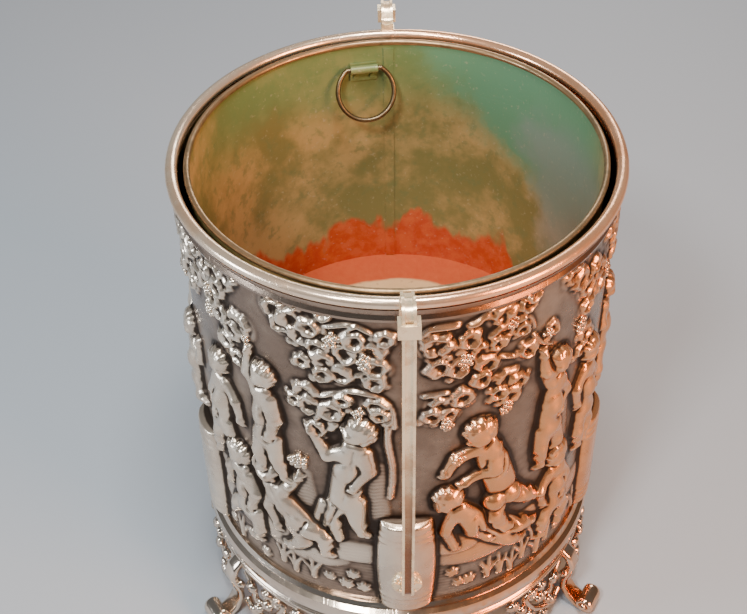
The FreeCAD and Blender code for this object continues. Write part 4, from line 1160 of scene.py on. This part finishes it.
def wall_strip(index):
    """One strip of the drum wall, from its place round the drum."""
    half, part = divmod(index, STRIPS_PER_HALF)
    wide = COLUMNS // STRIPS_PER_HALF
    span = np.arange(part * wide, (part + 1) * wide + 1)
    turn = np.radians(span * 180 / COLUMNS - 90 + 180 * half - 90)
    out = (WALL_R + TALL[:, span]) * MM
    z = np.repeat(row_height[:, None], len(span), axis=1) * MM
    c, s = np.cos(turn)[None, :], np.sin(turn)[None, :]
    face = np.dstack([out * c, out * s, z]).reshape(-1, 3)
    flat = SLOPE_X[:, span]
    up = SLOPE_Z[:, span]
    normal = np.dstack([c + flat * s, s - flat * c, -up * np.ones_like(c)]).reshape(-1, 3)
    normal /= np.linalg.norm(normal, axis=1)[:, None]
    rows, columns = TALL.shape[0], len(span)
    inner = WALL_IN_R * MM
    back = [(inner * math.cos(a), inner * math.sin(a), h * MM)
            for h in (row_height[0], row_height[-1]) for a in turn]
    verts = np.concatenate([face, np.array(back)])
    ids = np.arange(rows * columns).reshape(rows, columns)
    quads = np.stack([ids[:-1, :-1], ids[:-1, 1:], ids[1:, 1:], ids[1:, :-1]], axis=-1).reshape(-1, 4)
    low = rows * columns + np.arange(columns)
    high = low + columns
    skin = [np.stack([low[1:], low[:-1], high[:-1], high[1:]], axis=-1),
            np.stack([low[:-1], low[1:], ids[0, 1:], ids[0, :-1]], axis=-1),
            np.stack([ids[-1, :-1], ids[-1, 1:], high[1:], high[:-1]], axis=-1)]
    faces = np.concatenate([quads] + skin).tolist()
    faces.append(ids[:, 0].tolist()[::-1] + [int(low[0]), int(high[0])])
    faces.append(ids[:, -1].tolist() + [int(high[-1]), int(low[-1])])
    mesh = bpy.data.meshes.new(f"pressed_wall_{index + 1}")
    mesh.from_pydata(verts.tolist(), [], faces)
    mesh.polygons.foreach_set("use_smooth", [True] * len(quads) + [False] * (len(faces) - len(quads)))
    film = np.concatenate([FILM[:, span].reshape(-1), np.zeros(len(back))])
    mesh.attributes.new("hollow", "FLOAT", "POINT").data.foreach_set("value", film.astype(np.float32))
    raised = np.concatenate([np.clip(TALL[:, span] / 3.0, 0, 1).reshape(-1), np.zeros(len(back))])
    mesh.attributes.new("raised", "FLOAT", "POINT").data.foreach_set("value", raised.astype(np.float32))
    mesh.normals_split_custom_set_from_vertices(
        np.concatenate([normal, np.array([(math.cos(a), math.sin(a), 0) for a in turn] * 2)]).tolist())
    mesh.materials.append(relief_silver)
    piece = bpy.data.objects.new(mesh.name, mesh)
    bpy.context.scene.collection.objects.link(piece)
    return piece


walls = [wall_strip(i) for i in range(2 * STRIPS_PER_HALF)]
for wall in walls:
    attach(wall, "stand")
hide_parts("drum_shell")
print("strips", len(walls), "triangles each", len(walls[0].data.loops) - 2 * len(walls[0].data.polygons))

# %% Close the wall above and below the picture


RING_PARTS = 240


def plain_ring(name, low, high):
    """A plain ring of the wall's sheet between two heights."""
    profile = ((WALL_IN_R, low), (WALL_R, low), (WALL_R, high), (WALL_IN_R, high))
    verts, faces = [], []
    for i in range(RING_PARTS):
        turn = 2 * math.pi * i / RING_PARTS
        verts += [(r * MM * math.cos(turn), r * MM * math.sin(turn), h * MM) for r, h in profile]
        here, ahead = 4 * i, 4 * ((i + 1) % RING_PARTS)
        faces += [(here + k, ahead + k, ahead + (k + 1) % 4, here + (k + 1) % 4) for k in range(4)]
    mesh = bpy.data.meshes.new(name)
    mesh.from_pydata(verts, [], faces)
    mesh.materials.append(band_silver)
    piece = bpy.data.objects.new(name, mesh)
    bpy.context.scene.collection.objects.link(piece)
    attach(piece, "stand")
    return piece


plain_ring("wall_top", FIELD_HIGH, DRUM_TOP)
plain_ring("wall_foot", DRUM_FOOT, FIELD_LOW)
print("wall closed")

# %% [markdown]
# ## Things that repeat
#
# Beads, grapes, petals and cast stems repeat dozens of times, so Geometry Nodes make them. One
# tree sets a small ball on every guide point. Another gives every guide line a round, tapering
# body, as a founder rolls wax rods. The guides carry their own sizes as attributes, so the same
# tree serves a fat stem and a thin tendril. Making each by hand would take a mesh for each one.

# %% Helpers for geometry trees
GEOMETRY = "NodeSocketGeometry"


def new_geometry_tree(name, inputs):
    """An empty geometry tree with a geometry in and out, and named inputs."""
    group = bpy.data.node_groups.new(name, "GeometryNodeTree")
    group.is_modifier = True
    group.interface.new_socket("Geometry", in_out="INPUT", socket_type=GEOMETRY)
    for label, kind, value in inputs:
        socket = group.interface.new_socket(label, in_out="INPUT", socket_type=kind)
        if value is not None:
            socket.default_value = value
    group.interface.new_socket("Geometry", in_out="OUTPUT", socket_type=GEOMETRY)
    t = Tree(group)
    return group, t, t.add("NodeGroupInput").outputs, t.add("NodeGroupOutput").inputs


def close_tree(t, out, geometry, finish):
    """Ends a tree: real geometry, smooth faces and its metal."""
    real = t.add("GeometryNodeRealizeInstances", {"Geometry": geometry}).outputs[0]
    even = t.add("GeometryNodeSetShadeSmooth", {"Geometry": real, "Shade Smooth": True}).outputs[0]
    dressed = t.add("GeometryNodeSetMaterial", {"Geometry": even, "Material": finish}).outputs[0]
    t.tree.links.new(dressed, out["Geometry"])


def guide_mesh(name, points, edges, **values):
    """A mesh of guide points and lines in metres, with a value for each point."""
    mesh = bpy.data.meshes.new(name)
    mesh.from_pydata(points, edges, [])
    for key, numbers in values.items():
        mesh.attributes.new(key, "FLOAT", "POINT").data.foreach_set("value", numbers)
    return mesh


def grow(name, guide, tree, body, slot, **sizes):
    """Runs a tree on a guide and keeps the result as a plain mesh that rides on a body."""
    item = bpy.data.objects.new(name + "_guide", guide)
    bpy.context.scene.collection.objects.link(item)
    modifier = item.modifiers.new("grow", "NODES")
    modifier.node_group = tree
    for socket in tree.interface.items_tree:
        if socket.in_out == "INPUT" and socket.name in sizes:
            modifier[socket.identifier] = sizes[socket.name]
    bpy.context.view_layer.update()
    graph = bpy.context.evaluated_depsgraph_get()
    mesh = bpy.data.meshes.new_from_object(item.evaluated_get(graph), depsgraph=graph)
    mesh.name = name
    bpy.data.objects.remove(item)
    piece = bpy.data.objects.new(name, mesh)
    bpy.context.scene.collection.objects.link(piece)
    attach(piece, body)
    return piece


# %% The tree for beads and grapes


def build_beads():
    """A small ball on every guide point. Its size comes from the point."""
    group, t, given, out = new_geometry_tree(
        "beads", [("Sides", "NodeSocketInt", 10), ("Rings", "NodeSocketInt", 7),
                  ("Finish", "NodeSocketMaterial", None)])
    ball = t.add("GeometryNodeMeshUVSphere", {"Segments": given["Sides"], "Rings": given["Rings"],
                                              "Radius": 1.0}).outputs["Mesh"]
    size = t.add("GeometryNodeInputNamedAttribute", {"Name": "size"}, data_type="FLOAT").outputs[0]
    set_on = t.add("GeometryNodeInstanceOnPoints", {"Points": given["Geometry"], "Instance": ball,
                                                    "Scale": size}).outputs[0]
    close_tree(t, out, set_on, given["Finish"])
    return group


BEADS = build_beads()
print("tree", BEADS.name)

# %% Grapes


def wall_rise(arc, up):
    """The height of the pressed wall at a point of the picture, in millimetres."""
    column = int(round((arc / PER_DEG + 90) / 180 * COLUMNS)) % COLUMNS
    row = int(np.clip(round((up - FIELD_LOW) / (row_height[1] - row_height[0])), 0, ROWS - 1))
    return float(relief[row, column])


def on_wall(arc, up, out, half=0):
    """A point in metres from its place in the picture and how far it stands off the wall."""
    turn = math.radians(arc / PER_DEG - 90 + 180 * half)
    r = (WALL_R + out) * MM
    return r * math.cos(turn), r * math.sin(turn), up * MM


def make_grapes():
    """All bunches on the drum, front and back."""
    points, sizes = [], []
    for half in (0, 1):
        for arc, up, radius, raised in grapes:
            out = wall_rise(arc, up) * 0.8 + radius * 0.30 * raised
            points.append(on_wall(arc, up, out, half))
            sizes.append(radius * MM)
    guide = guide_mesh("grape_points", points, [], size=sizes)
    return grow("grapes", guide, BEADS, "stand", "silver_plate", Finish=grape_silver, Sides=8, Rings=6)


print("grape triangles", len(make_grapes().data.polygons))

# %% [markdown]
# ## The cast feet
#
# Each foot is an openwork casting: a scroll that carries the weight and ends in a snail on the
# table, and to both sides of it C-shaped stems with leaves, soldered under the base moulding.
# A founder builds such a pattern from rolled wax rods and pinched leaves, and the nodes do the
# same: every stem and every leaf tip is one tapered rod. The two left feet are drawn as the
# mirror of the two right ones.

# %% The tree for cast stems


def build_stems():
    """Gives each guide line a round body whose thickness comes from its points."""
    group, t, given, out = new_geometry_tree(
        "cast_stems", [("Sides", "NodeSocketInt", 8), ("Finish", "NodeSocketMaterial", None)])
    line = t.add("GeometryNodeMeshToCurve", {"Mesh": given["Geometry"]}).outputs[0]
    thick = t.add("GeometryNodeInputNamedAttribute", {"Name": "thick"}, data_type="FLOAT").outputs[0]
    ring = t.add("GeometryNodeCurvePrimitiveCircle", {"Resolution": given["Sides"], "Radius": 1.0})
    body = t.add("GeometryNodeCurveToMesh", {"Curve": line, "Profile Curve": ring.outputs["Curve"],
                                             "Scale": thick, "Fill Caps": True}).outputs[0]
    close_tree(t, out, body, given["Finish"])
    return group


STEMS = build_stems()

# %% Rods of one foot, drawn flat
FOOT_R = 103.5          # the rods lie at this radius, bent round under the drum
FOOT_SQUEEZE = 0.84     # the rods are drawn for a taller foot than this one
SNAIL_STEPS = 14
SNAIL_INNER = 0.22
TIP_CURL = 0.35
rods = []


def rod(points, start, end, swell=0.0):
    """A rod through (along, height, out) points in mm, with its thickness at both ends."""
    path = round_path(points, 5)
    shares = np.linspace(0, 1, len(path))
    thick = start + (end - start) * shares + swell * np.sin(math.pi * shares)
    rods.append(([tuple(p) for p in path], thick.tolist()))


def snail(centre, radius, start, turns, hand, out):
    """Points of a spiral that winds inward. start is in degrees."""
    points = []
    for i in range(SNAIL_STEPS + 1):
        share = i / SNAIL_STEPS
        angle = math.radians(start + hand * 360 * turns * share)
        away = radius * (1 - (1 - SNAIL_INNER) * share)
        points.append((centre[0] + away * math.cos(angle), centre[1] + away * math.sin(angle),
                       out + 1.2 * share))
    return points


def leaf_spray(root, aim, length, count, spread, out, fat):
    """A fan of pinched leaf tips from one root. aim and spread are in degrees."""
    for i in range(count):
        share = i / (count - 1) * 2 - 1
        way = math.radians(aim + spread * share)
        long = length * (1 - 0.30 * abs(share))
        side = way + math.radians(90) * (1 if share >= 0 else -1)
        mid = (root[0] + 0.55 * long * math.cos(way) - TIP_CURL * 2 * math.cos(side) * abs(share),
               root[1] + 0.55 * long * math.sin(way) - TIP_CURL * 2 * math.sin(side) * abs(share), out + 1.6)
        tip = (root[0] + long * math.cos(way) + TIP_CURL * 3 * math.cos(side) * abs(share),
               root[1] + long * math.sin(way) + TIP_CURL * 3 * math.sin(side) * abs(share), out + 0.8)
        rod([(root[0], root[1], out), mid, tip], fat * 0.9, fat * 0.34, fat * 0.95)


# %% Draw the foot's sides
for side in (-1, 1):
    rod([(side * 4, 47.5, 0), (side * 16, 48.2, 0), (side * 30, 48.4, 0), (side * 46, 48.0, 0)], 1.9, 1.5)
    rod([(side * 5, 14, 1), (side * 11, 10.5, 1.4), (side * 20, 13, 1), (side * 29, 22, 0.4),
         (side * 34, 33, 0)] + [(side * x, z, o) for x, z, o in snail((31, 37.5), 4.8, 10, 1.1, 1, 0)],
        2.3, 0.9)
    rod([(side * 6, 44, 0), (side * 12, 38, 0.6), (side * 14, 29, 1)]
        + [(side * x, z, o) for x, z, o in snail((18.6, 27), 4.6, 180, 1.2, 1, 1)], 1.9, 0.8)
    rod([(side * 46, 47, 0), (side * 42, 41, 0.5), (side * 41, 34, 0.8)]
        + [(side * x, z, o) for x, z, o in snail((38, 31), 3.2, 30, 1.0, -1, 0.8)], 1.5, 0.7)
    rod([(side * 24, 47, 0), (side * 22, 42, 0.5), (side * 25, 37, 0.8)], 1.4, 0.8)
    leaf_spray((side * 20, 13), -90 + side * 25, 9, 3, 32, 0.8, 1.7)
    leaf_spray((side * 30, 23), -90 + side * 55, 9, 3, 30, 0.4, 1.6)
    leaf_spray((side * 36, 34), -90 + side * 62, 9, 3, 30, 0.2, 1.5)
    leaf_spray((side * 44, 46), -90 + side * 30, 8, 4, 38, 0, 1.5)
    leaf_spray((side * 11, 41), -90 + side * 40, 9, 3, 28, 0.8, 1.5)
    leaf_spray((side * 25, 46), -90, 7, 3, 42, 0.2, 1.4)
    leaf_spray((side * 12, 12), 90 - side * 30, 9, 3, 26, 1.2, 1.6)
    leaf_spray((side * 33, 46), -90 - side * 20, 6, 3, 35, 0.2, 1.3)
    leaf_spray((side * 27, 30), 90 + side * 20, 8, 3, 34, 0.8, 1.5)
    leaf_spray((side * 16, 20), 90 - side * 50, 7, 3, 30, 1.2, 1.4)
    leaf_spray((side * 6, 30), 90 + side * 60, 6, 3, 34, 2.4, 1.4)
print("rods on one foot", len(rods))

# %% The weight-bearing scroll
LEG_LINE = [(103.2, 41.2), (107.6, 38.2), (110.2, 32.5), (109.4, 26.0), (107.2, 19.5), (107.2, 12.5),
            (111.0, 6.4), (116.4, 2.7)]
VOLUTE = (121.0, 7.0)
SECTION = 16


def leg_scroll():
    """Points (out, height), half width and half thickness along the leg and its snail."""
    line = [(r, z, 4.2 + 0.5 * i / 7, 2.3) for i, (r, z) in enumerate(LEG_LINE)]
    steps = 30
    for i in range(steps + 1):
        share = i / steps
        angle = math.radians(-112 + 560 * share)
        away = 4.9 * (1 - 0.80 * share)
        thick = 2.1 * (1 - 0.62 * share)
        wide = 5.0 + 1.5 * math.sin(min(1, share * 2) * math.pi / 2) - 0.6 * share
        line.append((VOLUTE[0] + away * math.cos(angle), VOLUTE[1] + away * math.sin(angle), wide, thick))
    return line


def ribbon(line, place):
    """A closed flat rod along a line that lies in one upright plane."""
    verts, faces = [], []
    path = np.array([(r, z) for r, z, _, _ in line])
    ahead = np.gradient(path, axis=0)
    ahead /= np.linalg.norm(ahead, axis=1)[:, None]
    for (r, z, wide, thick), (dr, dz) in zip(line, ahead):
        for k in range(SECTION):
            angle = 2 * math.pi * k / SECTION
            c, s = math.cos(angle), math.sin(angle)
            across = wide * math.copysign(abs(c) ** 0.55, c)
            rise = thick * math.copysign(abs(s) ** 0.75, s) * (1 - 0.22 * math.exp(-(across / 2.0) ** 2))
            verts.append(place(across, z + rise * dr, r - rise * dz))
    for i in range(len(line) - 1):
        for k in range(SECTION):
            a, b = i * SECTION + k, i * SECTION + (k + 1) % SECTION
            faces.append((a, b, b + SECTION, a + SECTION))
    last = (len(line) - 1) * SECTION
    faces.append(tuple(range(SECTION))[::-1])
    faces.append(tuple(range(last, last + SECTION)))
    return verts, faces


# %% Set four feet under the drum
FLANGE_SPREAD = 30.0
FLANGE_STEPS = 12
FLANGE_IN, FLANGE_OUT = 88, 103
FLANGE_LOW, FLANGE_HIGH = 40.2, 42.8


def add_flange(verts, faces, place):
    """The curved plate that lies under the drum and takes the foot's screws."""
    first = len(verts)
    for i in range(FLANGE_STEPS + 1):
        along = (i / FLANGE_STEPS * 2 - 1) * FLANGE_SPREAD
        verts += [place(along, FLANGE_LOW, FLANGE_IN), place(along, FLANGE_LOW, FLANGE_OUT),
                  place(along, FLANGE_HIGH, FLANGE_OUT), place(along, FLANGE_HIGH, FLANGE_IN)]
    for i in range(FLANGE_STEPS):
        a = first + 4 * i
        faces += [(a + k, a + (k + 1) % 4, a + 4 + (k + 1) % 4, a + 4 + k) for k in range(4)]
    faces.append(tuple(range(first, first + 4))[::-1])
    faces.append(tuple(range(len(verts) - 4, len(verts))))


FOOT_PLACES = {"foot_front_right": (58, 1), "foot_front_left": (-58, -1),
               "foot_back_right": (122, 1), "foot_back_left": (-122, -1)}


def make_foot(name, angle, hand):
    """One foot: its rods from the nodes, and its scroll, joined in one mesh."""
    middle = math.radians(angle - 90)

    def place(along, up, out):
        turn = middle + hand * along / FOOT_R
        return out * MM * math.cos(turn), out * MM * math.sin(turn), up * MM

    points, edges, thick = [], [], []
    for path, sizes in rods:
        first = len(points)
        points += [place(a, z * FOOT_SQUEEZE, FOOT_R + o) for a, z, o in path]
        thick += [v * MM for v in sizes]
        edges += [(i, i + 1) for i in range(first, len(points) - 1)]
    guide = guide_mesh(name + "_lines", points, edges, thick=thick)
    piece = grow(name + "_casting", guide, STEMS, "stand", "silver_plate", Finish=band_silver, Sides=8)
    verts, faces = ribbon(leg_scroll(), place)
    round_part = len(verts)
    add_flange(verts, faces, place)
    work = bmesh.new()
    work.from_mesh(piece.data)
    made = [work.verts.new(v) for v in verts]
    fresh = []
    for face in faces:
        fresh.append(work.faces.new([made[i] for i in face]))
        fresh[-1].smooth = len(face) == 4 and max(face) < round_part
    bmesh.ops.recalc_face_normals(work, faces=fresh)
    for side in (-1, 1):
        spot_at = Matrix.Translation(place(side * 5.6, VOLUTE[1], VOLUTE[0]))
        made = bmesh.ops.create_uvsphere(work, u_segments=12, v_segments=8, radius=2.3 * MM, matrix=spot_at)
        for v in made["verts"]:
            for face in v.link_faces:
                face.smooth = True
    work.to_mesh(piece.data)
    work.free()
    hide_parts(name)
    return piece


for name, (angle, hand) in FOOT_PLACES.items():
    foot = make_foot(name, angle, hand)
print("foot faces", len(foot.data.polygons))

# %% [markdown]
# ## Rosettes at the lower ends of the straps
#
# Each strap is riveted to its cask through a round boss. The cast boss is chased as a flower.
# The petals repeat round a circle, so the bead tree sets them on a ring of points.

# %% Petals round the bosses
PETALS = 12


def make_petals(side, turn):
    """A ring of beads with a smaller ring inside it, on the face of one boss."""
    low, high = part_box("handle_boss_" + side)
    face = max(abs(low.y), abs(high.y)) - 0.4 * MM
    middle = (low.z + high.z) / 2
    points, sizes = [], []
    for ring, count, size in ((6.3, PETALS + 4, 1.35), (4.3, PETALS, 1.05)):
        for i in range(count):
            angle = 2 * math.pi * (i + 0.5) / count
            points.append((ring * MM * math.cos(angle), turn * (face - 0.0002 * (ring > 5)),
                           middle + ring * MM * math.sin(angle)))
            sizes.append(size * MM)
    guide = guide_mesh("petal_points_" + side, points, [], size=sizes)
    return grow("boss_petals_" + side, guide, BEADS, "stand", "silver_plate", Finish=strap_silver,
                Sides=10, Rings=7)


for side, turn in (("front", -1), ("back", 1)):
    petals = make_petals(side, turn)
print("petal faces", len(petals.data.polygons))

# %% [markdown]
# ## Finishes for the measured pieces
#
# Many measured pieces already have the right shape. Each one only gets its metal.

# %% Give every measured piece its metal
METAL_OF = {
    "rim_wire": rim_silver, "neck_band": shaded_neck_silver, "base_moulding": band_silver,
    "base_wire": band_silver, "base_plate": band_silver, "seat_ring": band_silver,
    "foot": band_silver, "foot_screws": fixing_brass, "foot_nuts": fixing_brass,
    "rivet_burrs": fixing_brass, "handle": strap_silver, "liner_wall": stained_copper,
    "liner_rim_bead": bead_copper, "liner_floor": scoured_copper, "liner_seam": stained_copper,
    "ring_lug": stained_copper, "lug_rivets": stained_copper, "drop_ring": old_brass,
}


def dress(node, item):
    """Puts the metal whose name matches longest on a measured piece."""
    fits = [key for key in METAL_OF if node.startswith(key)]
    if not fits:
        return
    finish = METAL_OF[max(fits, key=len)]
    if not item.material_slots:
        item.data.materials.append(finish)
    for held in item.material_slots:
        held.material = finish


for node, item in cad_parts.items():
    dress(node, item)
print("dressed", len(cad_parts))

# %% Update the scene
bpy.context.view_layer.update()
